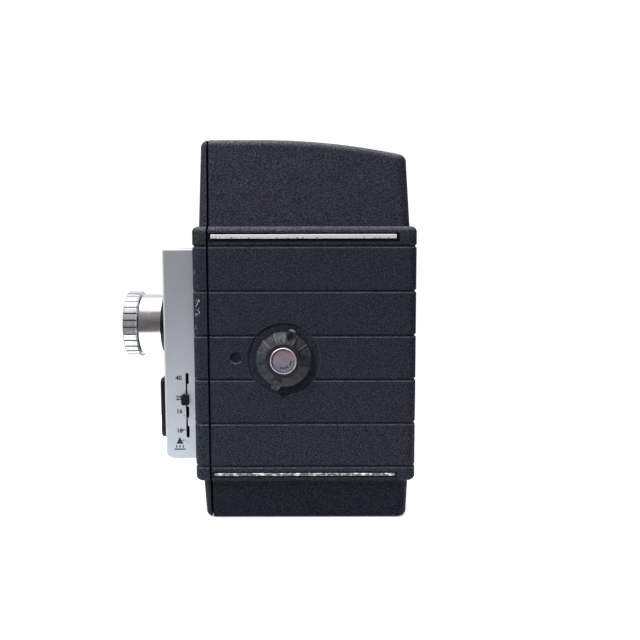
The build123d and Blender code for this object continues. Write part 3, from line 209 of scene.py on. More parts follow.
class Material(Nodes):
    """A node material on one Principled shader."""

    def __init__(self, name, **sockets):
        self.data = bpy.data.materials.new(name)
        self.data.use_nodes = True
        super().__init__(self.data.node_tree)
        self.shader = self.tree.nodes["Principled BSDF"]
        for socket, value in sockets.items():
            self.shader.inputs[socket.replace("_", " ")].default_value = value
        self.coords = self.tree.nodes.new("ShaderNodeTexCoord").outputs["Object"]

    def noise(self, scale, detail=3.0, roughness=0.5, stretch=(1, 1, 1), distortion=0.0):
        """Noise over the surface, with features of about 1/scale metres."""
        node = self.tree.nodes.new("ShaderNodeTexNoise")
        node.inputs["Scale"].default_value = scale
        node.inputs["Detail"].default_value = detail
        node.inputs["Roughness"].default_value = roughness
        node.inputs["Distortion"].default_value = distortion
        self.tree.links.new(self.stretched(stretch), node.inputs["Vector"])
        return node.outputs["Fac"]

    def cells(self, scale):
        """Smooth distance from the middles of scattered cells."""
        node = self.tree.nodes.new("ShaderNodeTexVoronoi")
        node.feature = "SMOOTH_F1"
        node.inputs["Scale"].default_value = scale
        self.tree.links.new(self.coords, node.inputs["Vector"])
        return node.outputs["Distance"]

    def stretched(self, stretch):
        """The surface point with its coordinates scaled."""
        if tuple(stretch) == (1, 1, 1):
            return self.coords
        node = self.tree.nodes.new("ShaderNodeMapping")
        node.inputs["Scale"].default_value = stretch
        self.tree.links.new(self.coords, node.inputs["Vector"])
        return node.outputs["Vector"]

    def axis(self, index):
        """One coordinate of the surface point, in metres."""
        return self.split(self.coords)[index]

    def facing_up(self, low, high):
        """1 where the unbent surface faces upwards, 0 where it is upright."""
        normal = self.tree.nodes.new("ShaderNodeTexCoord").outputs["Normal"]
        return self.remap(self.split(normal)[2], low, high)

    def between(self, index, low, high, soft=0.1 * MM):
        """1 between two values of a coordinate, 0 outside, with soft edges."""
        value = self.axis(index)
        above = self.remap(value, low - soft, low)
        below = self.remap(value, high, high + soft, 1.0, 0.0)
        return self.math("MULTIPLY", above, below)

    def within(self, first, second, radius, soft=0.15 * MM):
        """1 inside a circle about two coordinates, given as (index, centre)."""
        offsets = []
        for index, centre in (first, second):
            offset = self.math("SUBTRACT", self.axis(index), centre)
            offsets.append(self.math("MULTIPLY", offset, offset))
        distance = self.math("SQRT", self.math("ADD", *offsets))
        return self.remap(distance, radius, radius + soft, 1.0, 0.0)

    def annulus(self, first, second, outer, inner, soft):
        """1 between two circles about one centre."""
        wide = self.within(first, second, outer, soft)
        return self.math("SUBTRACT", wide, self.within(first, second, inner, soft))

    def bump(self, height, distance, strength=1.0):
        """Normal bent by a height field, whose full range is the distance."""
        node = self.tree.nodes.new("ShaderNodeBump")
        node.inputs["Distance"].default_value = distance
        node.inputs["Strength"].default_value = strength
        self.put(node.inputs["Height"], height)
        return node.outputs["Normal"]

    def finish(self, colour, roughness=None, metallic=None, normal=None):
        """Put the finished values on the shader, and give the material."""
        self.put(self.shader.inputs["Base Color"], colour)
        if roughness is not None:
            self.put(self.shader.inputs["Roughness"], roughness)
        if metallic is not None:
            self.put(self.shader.inputs["Metallic"], metallic)
        if normal is not None:
            self.put(self.shader.inputs["Normal"], normal)
        return self.data


def rgb(red, green, blue):
    """Linear colour of an 8-bit display colour."""
    values = []
    for part in (red, green, blue):
        part = part / 255
        values.append(part / 12.92 if part <= 0.04045 else ((part + 0.055) / 1.055) ** 2.4)
    return (*values, 1.0)


# ---- Materials ----------------------------------------------------------------------


def crackle_paint(name, smooth_zones=(), highlight_rims=(), dim_zones=(), chips=None):
    """Black crackle paint: glossy pebbles with dull gaps between them.

    The paint is smooth in the smooth zones, carries painted light on the highlight rims and painted
    shade in the dim zones, and is gone at the chips.  A rim comes with its colour, and a dim zone with
    its strength.  The hood is painted lighter, faces turned up and the groove lips carry painted
    highlights, and the foot is painted darker as shade.
    """
    m = Material(name, Specular_Tint=(0.72, 0.84, 1.0, 1.0))
    folds = m.noise(2900, 3.0, 0.65)
    domes = m.remap(m.cells(2600), 0.05, 0.7, 1.0, 0.0)
    height = m.math("ADD", m.math("MULTIPLY", domes, 0.5), m.math("MULTIPLY", folds, 0.5))
    speck = m.remap(height, 0.40, 0.76)
    tint = m.remap(m.noise(900, 1.0, 0.5), 0.36, 0.64)
    cloud = m.remap(m.noise(160, 2.0, 0.5), 0.35, 0.65, 0.0, 0.6)
    # painted light: from the hood's base up, the paint and its pebble tops are painted lighter, as lit
    # from above
    hood = m.remap(m.axis(2), HOOD_BASE, HOOD_BASE + 3 * MM)
    # painted shade: below the foot's top the paint is darkened towards black and loses shine
    foot = m.remap(m.axis(2), FOOT_TOP, FOOT_TOP - 1.5 * MM, 0.0, FOOT_SHADE)
    lit = m.mix(tint, rgb(62, 67, 86), rgb(76, 77, 77))
    lit = m.mix(m.math("MULTIPLY", hood, 0.5), lit, rgb(101, 103, 114))
    lit = m.mix(cloud, lit, rgb(76, 70, 82))
    paint = m.mix(speck, m.mix(hood, rgb(38, 41, 49), rgb(42, 42, 50)), lit)
    paint = m.mix(foot, paint, rgb(18, 20, 26))
    # painted highlight along the lower lip of each groove
    paint = m.mix(m.math("MULTIPLY", groove_lip_highlights(m), 0.05), paint, rgb(150, 152, 160))
    outside_grooves = m.math("SUBTRACT", 1.0, near_grooves(m, 0.1 * MM, 0.3 * MM))
    # painted highlight: pebble tops on faces turned up, away from the grooves, are painted pale, as lit
    # from above
    wear_and_sheen = m.product(m.facing_up(0.2, 0.8), m.remap(speck, 0.2, 0.8, 0.12, 0.5), outside_grooves)
    paint = m.mix(wear_and_sheen, paint, rgb(150, 153, 160))
    rough = m.remap(speck, 0.0, 1.0, 0.62, 0.42)
    shine = m.product(m.remap(speck, 0.0, 1.0, 0.10, 0.42), m.remap(foot, 0.0, FOOT_SHADE, 1.0, 0.55))
    relief = height
    # painted light: each rim mask is painted in its own lighter colour
    for mask, colour in highlight_rims:
        paint = m.mix(mask(m), paint, colour)
    # painted shade: each dim zone is painted towards black and loses shine
    for mask, strength in dim_zones:
        zone = m.math("MULTIPLY", mask(m), strength)
        paint = m.mix(zone, paint, rgb(14, 14, 17))
        shine = m.math("MULTIPLY", shine, m.remap(zone, 0.0, 1.0, 1.0, 0.3))
    for mask in smooth_zones:
        zone = mask(m)
        smudge = m.noise(260, 3.0, 0.6)
        paint = m.mix(zone, paint, m.mix(smudge, rgb(8, 8, 11), rgb(20, 20, 25)))
        rough = m.blend(zone, rough, 0.42)
        shine = m.blend(zone, shine, 0.16)
        relief = m.blend(zone, relief, 0.5)
    metallic = None
    if chips is not None:
        bare = chips(m)
        paint = m.mix(bare, paint, rgb(244, 242, 236))
        rough = m.blend(bare, rough, 0.38)
        metallic = m.math("MULTIPLY", bare, 0.4)
        relief = m.math("SUBTRACT", relief, m.math("MULTIPLY", bare, 0.5))
    m.put(m.shader.inputs["Specular IOR Level"], shine)
    return m.finish(paint, rough, metallic, m.bump(relief, 0.09 * MM, 1.0))


def near_grooves(m, below, half):
    """1 in a band of each groove round the belt, some way below the groove's middle."""
    turns = m.math("DIVIDE", m.math("SUBTRACT", m.axis(2), GROOVE_TOP - below), GROOVE_PITCH)
    offset = m.math("ABSOLUTE", m.math("SUBTRACT", turns, m.math("ROUND", turns)))
    band = m.remap(offset, half / GROOVE_PITCH, 1.5 * half / GROOVE_PITCH, 1.0, 0.0)
    belt = m.between(2, GROOVE_TOP - 5.5 * GROOVE_PITCH, GROOVE_TOP + GROOVE_LIP)
    return m.product(band, belt)


def groove_lip_highlights(m):
    """Painted highlight on the lower lip of each groove round the belt, uneven along it."""
    wear_and_sheen = m.remap(m.noise(500, 2.0, 0.6), 0.35, 0.6, 0.35, 1.0)
    return m.product(near_grooves(m, GROOVE_LIP, LIP_HALF), wear_and_sheen)


def on_door_side(m):
    return m.remap(m.axis(0), SIDE_X, SIDE_X + 1 * MM)


def on_wind_side(m):
    return m.remap(m.axis(0), -SIDE_X - 1 * MM, -SIDE_X, 1.0, 0.0)


def strip_zone(side_sign):
    """Smooth paint about the two trim strips on one side of the body."""

    def mask(m):
        outwards = m.math("MULTIPLY", m.axis(0), side_sign)
        inmost = BELT_X - STRIP_PAINT_DEPTH
        side = m.remap(outwards, inmost - 0.1 * MM, inmost)
        length = m.between(1, STRIP_LOW.y - STRIP_PAINT_REACH, STRIP_HIGH.y + STRIP_PAINT_REACH)
        lower, upper = m.between(2, *STRIP_PAINT_LOWER), m.between(2, *STRIP_PAINT_UPPER)
        return m.product(side, length, m.math("MAXIMUM", lower, upper))

    return mask


def latch_zone(m):
    """Shaded floor of the recess about the latch knob."""
    circle = m.within((1, LATCH.y), (2, LATCH.z), LATCH_RECESS_R - 3 * MM, 3.5 * MM)
    return m.product(circle, on_door_side(m))


def recess_rim_light(m):
    """Painted light on the rim of that recess, over the dark shading of its step."""
    outer, inner = LATCH_RECESS_R + 0.1 * MM, LATCH_RECESS_R - 0.45 * MM
    rim = m.annulus((1, LATCH.y), (2, LATCH.z), outer, inner, 0.15 * MM)
    return m.product(rim, on_door_side(m), 0.2)


def dimple_shade(m):
    """Painted shade on the floor of the dimple beside the latch."""
    circle = m.within((1, DIMPLE_Y), (2, DIMPLE_Z), 1.3 * MM, 0.7 * MM)
    return m.product(circle, on_door_side(m))


def dimple_rim_highlight(m):
    """Painted highlight on the lower rim of the dimple, uneven along it."""
    rim = m.annulus((1, DIMPLE_Y), (2, DIMPLE_Z), DIMPLE_R + 0.35 * MM, DIMPLE_R, 0.2 * MM)
    below = m.remap(m.axis(2), DIMPLE_Z - 0.4 * DIMPLE_R, DIMPLE_Z - 0.9 * DIMPLE_R)
    wear_and_sheen = m.remap(m.noise(900, 2.0, 0.6), 0.4, 0.6, 0.15, 0.6)
    return m.product(rim, on_door_side(m), below, wear_and_sheen)


def key_recess_shade(m):
    """Painted shade on the floor of the recess under the winding key."""
    circle = m.within((1, KEY.y), (2, KEY.z), KEY_RECESS_R, 0.5 * MM)
    return m.product(circle, on_wind_side(m))


def edge_chips(m):
    """Silver flecks in three clusters near the front edge of the belt."""
    flecks = m.noise(2300, 4.0, 0.7, stretch=(1, 1, 0.35), distortion=0.6)
    spread = m.remap(m.noise(420, 2.0, 0.6), 0.36, 0.52, 0.25, 1.0)
    places = None
    for middle, half, inset, share in CHIP_CLUSTERS:
        band = m.between(2, middle - half, middle + half, 1.2 * MM)
        line = FRONT_LOW.y + inset
        edge = m.between(1, line - CHIP_HALF_WIDTH, line + CHIP_HALF_WIDTH, CHIP_HALF_WIDTH)
        here = m.product(band, edge, share)
        places = here if places is None else m.math("MAXIMUM", places, here)
    limit = m.remap(m.math("MULTIPLY", places, spread), 0.0, 1.0, 0.95, 0.53)
    return m.remap(m.math("SUBTRACT", flecks, limit), 0.0, 0.03)


def smooth_black():
    """Smooth black paint under a little dust."""
    m = Material("smooth_black_paint", Specular_IOR_Level=0.25)
    dust = m.noise(900, 4.0, 0.7)
    film = m.noise(120, 2.0, 0.5)
    colour = m.mix(m.remap(dust, 0.5, 0.75), rgb(8, 8, 10), rgb(26, 26, 29))
    rough = m.remap(film, 0.3, 0.7, 0.30, 0.42)
    return m.finish(colour, rough, None, m.bump(dust, 0.01 * MM, 0.4))


def moulded_black(name, dark, light):
    """Matt black moulding with rubbed patches and a fine grain."""
    m = Material(name, Specular_IOR_Level=0.15)
    grain = m.noise(1400, 3.0, 0.65)
    wear_and_sheen = m.noise(240, 3.0, 0.6)
    colour = m.mix(m.remap(wear_and_sheen, 0.35, 0.7), dark, light)
    colour = m.mix(m.remap(grain, 0.52, 0.8, 0.0, 0.6), colour, rgb(54, 56, 62))
    rough = m.remap(wear_and_sheen, 0.3, 0.7, 0.42, 0.6)
    return m.finish(colour, rough, None, m.bump(grain, 0.05 * MM, 0.7))


def knob_black():
    """The latch knob's moulding: each sloping facet has its own rubbed tone.

    The rubbed tone carries a painted sheen that grows towards the top, over a base that is bluer
    lower down.  Thin ribs part the facets, painted light above and painted shade below; the bar's
    upper lug is dark with a painted highlight on its tip, its lower lug is rubbed grey, and the
    collar round the disc is dark.
    """
    m = Material("knob_moulding", Specular_IOR_Level=0.35)
    across = m.math("SUBTRACT", m.axis(1), LATCH.y)
    up = m.math("SUBTRACT", m.axis(2), LATCH.z)
    grain = m.noise(1300, 3.0, 0.65)
    tone_mask = m.noise(700, 4.0, 0.7)

    angle = m.math("ARCTAN2", up, across)
    turns = m.math("DIVIDE", m.math("SUBTRACT", angle, KNOB_FIRST_RIB), KNOB_FACET)
    tone = m.tree.nodes.new("ShaderNodeTexWhiteNoise")
    tone.noise_dimensions = "1D"
    m.put(tone.inputs["W"], m.math("FLOOR", turns))
    # painted sheen: height makes the facets' lighter tone grow towards the top, as lit from above; worn
    # mixes this painted sheen with random rubbing
    height = m.remap(up, 0.0, 8 * MM, 0.25, 1.0)
    texture = m.product(m.remap(grain, 0.3, 0.7, 0.4, 1.0), m.remap(tone_mask, 0.38, 0.62, 0.45, 1.0))
    worn = m.product(tone.outputs["Value"], height, texture)
    clean = m.mix(m.remap(up, 2 * MM, -6 * MM), rgb(17, 20, 22), rgb(14, 18, 28))
    ring = m.mix(m.remap(tone_mask, 0.42, 0.6), clean, rgb(54, 58, 66))
    ring = m.mix(worn, ring, rgb(120, 128, 136))

    offset = m.math("ABSOLUTE", m.math("SUBTRACT", turns, m.math("ROUND", turns)))
    rib = m.remap(offset, 0.03, 0.055, 0.8, 0.0)
    # painted light and shade: the ribs are painted dark low down and light from a little above the middle
    # upwards
    rib_light_and_shade = m.mix(m.remap(up, 0.5 * MM, 4 * MM), rgb(12, 12, 15), rgb(122, 126, 130))
    ring = m.mix(rib, ring, rib_light_and_shade)

    bar_y, bar_z = math.cos(KNOB_BAR_ANGLE), math.sin(KNOB_BAR_ANGLE)
    lug_y, lug_z = LUG_PLACE * bar_y, LUG_PLACE * bar_z
    upper_lug = m.within((1, LATCH.y + lug_y), (2, LATCH.z + lug_z), LUG_R, 0.6 * MM)
    lower_lug = m.within((1, LATCH.y - lug_y), (2, LATCH.z - lug_z), LUG_R, 0.6 * MM)
    along = m.math("ADD", m.product(across, bar_y), m.product(up, bar_z))
    # painted highlight on the outer tip of the upper lug
    tip = m.remap(along, LUG_PLACE + 0.65 * MM, LUG_PLACE + 0.95 * MM, 0.0, 0.75)
    ring = m.mix(m.product(upper_lug, 0.8), ring, m.mix(tone_mask, rgb(18, 18, 22), rgb(58, 62, 68)))
    ring = m.mix(m.product(upper_lug, tip), ring, rgb(176, 182, 188))
    ring = m.mix(m.product(lower_lug, m.remap(tone_mask, 0.42, 0.6, 0.2, 1.0)), ring, rgb(96, 99, 101))

    collar = m.within((1, LATCH.y), (2, LATCH.z), KNOB_COLLAR_R, 0.05 * MM)
    collar_colour = m.mix(m.remap(tone_mask, 0.4, 0.62), rgb(18, 17, 22), rgb(46, 41, 50))
    colour = m.mix(collar, ring, collar_colour)
    rough = m.remap(grain, 0.3, 0.7, 0.36, 0.55)
    return m.finish(colour, rough, None, m.bump(grain, 0.05 * MM, 0.6))


def brushed(name, colour, direction=2, roughness=(0.28, 0.42), depth=0.5, stains=0.0):
    """Metal brushed along one axis, with fine scratches and a few dull stains."""
    m = Material(name, Metallic=1.0)
    stretch = [1.0, 1.0, 1.0]
    stretch[direction] = 0.018
    lines = m.noise(5200, 3.0, 0.7, stretch=stretch)
    wide = m.noise(900, 2.0, 0.6, stretch=stretch)
    cloud = m.noise(45, 3.0, 0.6)
    tone = m.math("ADD", m.math("MULTIPLY", lines, 0.7), m.math("MULTIPLY", wide, 0.3))
    bright = tuple(min(1.0, c * 1.05) for c in colour[:3]) + (1.0,)
    dull = tuple(c * 0.93 for c in colour[:3]) + (1.0,)
    base = m.mix(m.remap(tone, 0.35, 0.65), dull, bright)
    specks = m.remap(m.noise(700, 2.0, 0.5), 0.70, 0.74, 0.0, stains)
    base = m.mix(specks, base, rgb(92, 90, 88))
    rough = m.math("ADD", m.remap(tone, 0.3, 0.7, *roughness), m.remap(cloud, 0.4, 0.7, 0.0, 0.06))
    return m.finish(base, rough, None, m.bump(tone, 0.006 * MM, depth))


def front_plate_metal():
    """Satin aluminium with a painted reflection that is palest half way up, and scratches and dark specks
    low down.
    """
    m = Material("satin_plate")
    lines = m.noise(5200, 3.0, 0.7, stretch=(1, 1, 0.02))
    cloud = m.noise(60, 3.0, 0.6)
    # painted reflection: the plate's tone changes with height and is palest half way up
    high = m.remap(m.axis(2), PLATE_LOW.z, PLATE_HIGH.z)
    tone = m.math("ADD", m.math("MULTIPLY", lines, 0.35), m.math("MULTIPLY", cloud, 0.65))
    middle = m.remap(m.math("ABSOLUTE", m.math("SUBTRACT", high, 0.5)), 0.1, 0.4, 1.0, 0.0)
    base = m.mix(high, rgb(192, 199, 206), rgb(208, 211, 216))
    base = m.mix(m.math("MULTIPLY", middle, 0.8), base, rgb(222, 226, 234))
    base = m.mix(m.remap(tone, 0.35, 0.65, 0.0, 0.26), base, rgb(156, 158, 162))
    low_half = m.remap(m.axis(2), *PLATE_WEAR)
    specks = m.remap(m.noise(800, 2.0, 0.5), 0.69, 0.72)
    scratch = m.remap(m.noise(700, 1.0, 0.5, stretch=(1, 0.25, 1)), 0.68, 0.70)
    across = m.remap(m.noise(520, 2.0, 0.6, stretch=(1, 0.3, 2.4)), 0.66, 0.70, 0.0, 0.45)
    scratch = m.math("MAXIMUM", scratch, across)
    marks = m.product(m.math("MAXIMUM", specks, scratch), m.product(low_half, 0.8))
    base = m.mix(marks, base, rgb(84, 86, 90))
    # painted highlight along the plate's front edge
    front_edge_highlight = m.remap(m.axis(1), PLATE_LOW.y + 0.35 * MM, PLATE_LOW.y + 0.6 * MM, 0.8, 0.0)
    base = m.mix(front_edge_highlight, base, rgb(252, 252, 252))
    rough = m.remap(tone, 0.3, 0.7, 0.40, 0.50)
    metallic = m.remap(front_edge_highlight, 0.0, 0.8, 0.8, 0.2)
    return m.finish(base, rough, metallic, m.bump(lines, 0.004 * MM, 0.4))


def polished(name, colour, roughness=0.09):
    """Turned and polished metal with faint hairlines and handling marks."""
    m = Material(name, Metallic=1.0)
    hair = m.noise(2600, 3.0, 0.7, stretch=(1, 0.05, 1))
    marks = m.noise(300, 3.0, 0.6)
    dull = tuple(c * 0.9 for c in colour[:3]) + (1.0,)
    base = m.mix(m.remap(marks, 0.4, 0.7), colour, dull)
    handled = m.remap(marks, 0.35, 0.7, roughness, roughness + 0.08)
    rough = m.math("ADD", handled, m.remap(hair, 0.4, 0.7, 0.0, 0.05))
    return m.finish(base, rough, None, m.bump(hair, 0.004 * MM, 0.4))


def barrel_metal():
    """Polished barrel, tarnished brown in streaks that run round it."""
    m = Material("tarnished_barrel", Metallic=1.0)
    streaks = m.noise(700, 3.0, 0.6, stretch=(1, 0.25, 1))
    cloud = m.noise(220, 3.0, 0.6)
    patches = m.math("ADD", m.product(streaks, 0.6), m.product(cloud, 0.4))
    base = m.mix(m.remap(patches, 0.40, 0.62), rgb(240, 240, 243), rgb(222, 215, 213))
    rough = m.remap(cloud, 0.3, 0.7, 0.14, 0.24)
    return m.finish(base, rough, None, m.bump(cloud, 0.004 * MM, 0.4))


def ring_metal():
    """Bright focus ring, darker in a band just inside the rim of its front face."""
    m = Material("knurled_ring", Metallic=0.7)
    marks = m.noise(500, 3.0, 0.6)
    outer, inner = RING_R - 0.55 * MM, RING_R - 1.5 * MM
    band = m.annulus((0, LENS.x), (2, LENS.z), outer, inner, 0.2 * MM)
    in_front = m.remap(m.axis(1), LENS.y, LENS.y - 0.1 * MM)
    tone_mask = m.product(band, in_front)
    base = m.mix(m.remap(marks, 0.4, 0.7), rgb(224, 226, 229), rgb(188, 190, 194))
    base = m.mix(m.product(tone_mask, 0.75), base, rgb(70, 70, 74))
    rough = m.remap(marks, 0.35, 0.7, 0.16, 0.30)
    return m.finish(base, rough, None, m.bump(marks, 0.02 * MM, 0.3))


def worn_strip():
    """Bright trim with nicks along its lower edge; the lower strip is worn in patches."""
    m = Material("worn_trim", Metallic=0.35)
    wear_and_sheen = m.noise(1000, 3.0, 0.7, stretch=(1, 0.5, 1))
    nicks = m.noise(1300, 2.0, 0.6, stretch=(1, 1, 0.4))
    lower = m.remap(m.axis(2), STRIPS_MIDDLE, STRIPS_MIDDLE + 1 * MM, 1.0, 0.0)
    edge = m.remap(m.axis(2), STRIP_HIGH.z - 1.15 * MM, STRIP_HIGH.z - 0.85 * MM, 1.0, 0.0)
    notches = m.math("MULTIPLY", edge, m.remap(nicks, 0.55, 0.64, 0.0, 0.7))
    patches = m.math("MULTIPLY", lower, m.remap(wear_and_sheen, 0.38, 0.52, 0.0, 0.95))
    wear = m.math("MAXIMUM", m.blend(lower, notches, 0.0), patches)
    colour = m.mix(wear, rgb(253, 253, 253), rgb(88, 88, 92))
    rough = m.blend(wear, 0.42, 0.55)
    return m.finish(colour, rough, None, m.bump(wear_and_sheen, 0.03 * MM, 0.4))


def disc_metal():
    """Satin disc with a painted reflection, mauve above and bluish below, and a painted highlight on a rim
    inside a dark outer line; a painted shadow line runs just inside the face's edge, strongest at the
    upper left.
    """
    m = Material("disc_metal", Metallic=1.0)
    lines = m.noise(3000, 3.0, 0.7, stretch=(1, 0.2, 1))
    cloud = m.noise(300, 3.0, 0.6)
    up = m.math("ADD", m.math("SUBTRACT", m.axis(2), LATCH.z), m.math("MULTIPLY", cloud, 3 * MM))
    # painted reflection: the disc is painted mauve above and bluish below
    reflection_tint = m.remap(up, -0.5 * MM, 2.5 * MM)
    base = m.mix(reflection_tint, rgb(169, 172, 190), rgb(203, 185, 192))
    base = m.mix(m.remap(lines, 0.5, 0.75, 0.0, 0.3), base, rgb(212, 206, 210))
    base = m.mix(m.remap(m.noise(1100, 2.0, 0.6), 0.48, 0.62, 0.0, 0.35), base, rgb(128, 118, 132))
    inner = m.within((1, LATCH.y), (2, LATCH.z), DISC_FACE_R - 0.45 * MM, 0.08 * MM)
    rim = m.within((1, LATCH.y), (2, LATCH.z), DISC_FACE_R + 0.25 * MM, 0.05 * MM)
    face = m.within((1, LATCH.y), (2, LATCH.z), DISC_FACE_R, 0.05 * MM)
    across = m.math("SUBTRACT", m.axis(2), m.axis(1))
    shadow_side = m.remap(across, LATCH.z - LATCH.y + 0.5 * MM, LATCH.z - LATCH.y + 2.5 * MM, 0.15, 0.9)
    line = m.math("MULTIPLY", m.math("SUBTRACT", face, inner), shadow_side)
    edge = m.within((1, LATCH.y), (2, LATCH.z), DISC_FACE_R + 0.5 * MM, 0.05 * MM)
    # painted highlight on the rim band round the face, inside a darker outer edge
    base = m.mix(rim, m.mix(edge, rgb(96, 92, 96), rgb(242, 240, 240)), base)
    # painted shadow line just inside the face's edge, strongest at the upper left
    base = m.mix(line, base, rgb(40, 38, 40))
    rough = m.blend(face, 0.45, m.remap(lines, 0.3, 0.7, 0.28, 0.42))
    return m.finish(base, rough, None, m.bump(lines, 0.01 * MM, 0.5))


def cast_metal():
    """Bare casting with a fine grain."""
    m = Material("cast_alloy", Metallic=1.0)
    grain = m.noise(1500, 4.0, 0.65)
    cloud = m.noise(80, 3.0, 0.6)
    base = m.mix(m.remap(cloud, 0.35, 0.65), rgb(160, 162, 164), rgb(138, 140, 143))
    return m.finish(base, m.remap(grain, 0.3, 0.7, 0.4, 0.58), None, m.bump(grain, 0.05 * MM, 0.5))


def flat_black():
    """Dull black paint that kills reflections inside the body."""
    m = Material("flat_black")
    grain = m.noise(2400, 3.0, 0.6)
    cloud = m.noise(150, 2.0, 0.5)
    base = m.mix(m.remap(cloud, 0.35, 0.65), rgb(22, 22, 24), rgb(34, 34, 36))
    return m.finish(base, m.remap(grain, 0.3, 0.7, 0.6, 0.78), None, m.bump(grain, 0.02 * MM, 0.6))


def enamel():
    """Grey enamel of the spool flanges, scuffed round their axis."""
    m = Material("spool_enamel", Coat_Weight=0.2, Coat_Roughness=0.2)
    orange_peel = m.noise(700, 3.0, 0.5)
    scuff = m.remap(m.noise(420, 4.0, 0.7, stretch=(1, 0.3, 1)), 0.62, 0.7, 0.0, 0.6)
    base = m.mix(scuff, rgb(74, 76, 80), rgb(120, 121, 122))
    rough = m.remap(orange_peel, 0.3, 0.7, 0.3, 0.42)
    return m.finish(base, rough, None, m.bump(orange_peel, 0.03 * MM, 0.4))


def clear_glass(name, tint):
    """Coated glass with a trace of dust."""
    m = Material(name, Transmission_Weight=1.0, IOR=1.52, Coat_Weight=0.4, Coat_Roughness=0.03)
    dust = m.noise(900, 3.0, 0.6)
    base = m.mix(m.remap(dust, 0.5, 0.75, 0.0, 0.3), tint, rgb(200, 202, 205))
    return m.finish(base, m.remap(dust, 0.5, 0.8, 0.03, 0.14))


def selenium_plate():
    """Dark lacquered face of the light cell."""
    m = Material("selenium", Coat_Weight=0.5, Coat_Roughness=0.1)
    cloud = m.noise(160, 3.0, 0.6)
    base = m.mix(m.remap(cloud, 0.35, 0.65), rgb(44, 38, 46), rgb(70, 58, 62))
    return m.finish(base, m.remap(cloud, 0.3, 0.7, 0.25, 0.4))


def ivory():
    """Yellowed dial of the footage counter."""
    m = Material("dial_ivory")
    grain = m.noise(1200, 3.0, 0.6)
    cloud = m.noise(140, 2.0, 0.5)
    base = m.mix(m.remap(cloud, 0.35, 0.65), rgb(232, 227, 211), rgb(219, 211, 190))
    return m.finish(base, m.remap(grain, 0.3, 0.7, 0.45, 0.6), None, m.bump(grain, 0.01 * MM, 0.4))


def ink():
    """Printed black marking, slightly uneven."""
    m = Material("marking_ink")
    grain = m.noise(2600, 3.0, 0.6)
    base = m.mix(m.remap(grain, 0.5, 0.75), rgb(14, 14, 17), rgb(52, 52, 56))
    return m.finish(base, m.remap(grain, 0.3, 0.7, 0.5, 0.7))


# finishes by material slot, and those of single nodes
finishes = {
    "trim_silver": worn_strip(),
    "plate_aluminium": brushed("satin_aluminium", rgb(206, 208, 212), 2, (0.30, 0.44), 0.5, 0.5),
    "lens_chrome": polished("polished_chrome", rgb(232, 233, 235)),
    "disc_silver": disc_metal(),
    "steel": brushed("turned_steel", rgb(190, 191, 194), 0, (0.24, 0.4), 0.4),
    "spring_steel": brushed("blued_steel", rgb(96, 104, 124), 1, (0.24, 0.36), 0.3),
    "brass": brushed("machined_brass", rgb(206, 168, 92), 1, (0.24, 0.4), 0.4),
    "cast_alloy": cast_metal(),
    "inner_black": flat_black(),
    "smooth_black": smooth_black(),
    "knob_black": moulded_black("control_moulding", rgb(8, 9, 12), rgb(18, 19, 24)),
    "spool_grey": enamel(),
    "glass": clear_glass("coated_glass", rgb(214, 224, 240)),
    "cell_window": clear_glass("lenslet_glass", rgb(206, 212, 206)),
    "selenium": selenium_plate(),
    "dial_ivory": ivory(),
}
special_finishes = {
    "film_door": crackle_paint(
        "crackle_door",
        smooth_zones=(strip_zone(1),),
        # painted light on the latch recess's rim and a painted highlight under the dimple
        highlight_rims=((recess_rim_light, rgb(104, 107, 116)), (dimple_rim_highlight, rgb(150, 154, 162))),
        # painted shade on the floor of the latch recess and in the dimple
        dim_zones=((latch_zone, 0.12), (dimple_shade, 0.45)),
    ),
    # painted shade on the floor of the key's recess
    "main_casing": crackle_paint("crackle_casing", (strip_zone(-1),), dim_zones=((key_recess_shade, 0.22),)),
    "base_tray": crackle_paint("crackle_tray", (strip_zone(-1),)),
    "front_casing": crackle_paint("crackle_front", chips=edge_chips),
    "front_plate": front_plate_metal(),
    "latch_knob": knob_black(),
    "lens_barrel": barrel_metal(),
    "focus_ring": ring_metal(),
}
for node in ("key_escutcheon", "key_hub", "key_bail"):
    special_finishes[node] = brushed("nickel_" + node, rgb(158, 160, 165), 2, (0.26, 0.44), 0.5, 0.4)

for entry in frame["record"]["subparts"]:
    node = entry["node"]
    material = special_finishes.get(node) or finishes[entry["material_slot"]]
    mesh = frame["nodes"][node].data
    mesh.materials.clear()
    mesh.materials.append(material)


# ---- Printed and engraved markings ----------------------------------------------------------


def onto(place, right, up):
    """Matrix from flat x, y and thickness to a place on a surface."""
    right, up = Vector(right).normalized(), Vector(up).normalized()
    matrix = Matrix((right, up, right.cross(up))).transposed().to_4x4()
    matrix.translation = Vector(place)
    return matrix


def add_glyphs(shape, words, height, matrix):
    """Characters of one height, centred on the matrix's origin, as thin closed solids."""
    curve = bpy.data.curves.new("glyphs", "FONT")
    curve.body = words
    curve.size = height / CAP_HEIGHT
    curve.align_x = "CENTER"
    curve.align_y = "CENTER"
    curve.extrude = MARK_THICKNESS / 2
    curve.offset = GLYPH_WEIGHT
    curve.resolution_u = 3
    holder = bpy.data.objects.new("glyphs", curve)
    bpy.context.scene.collection.objects.link(holder)
    bpy.context.view_layer.update()
    mesh = bpy.data.meshes.new_from_object(holder.evaluated_get(bpy.context.evaluated_depsgraph_get()))
    mesh.transform(matrix)
    shape.from_mesh(mesh)
    bpy.data.meshes.remove(mesh)
    bpy.data.objects.remove(holder)
    bpy.data.curves.remove(curve)


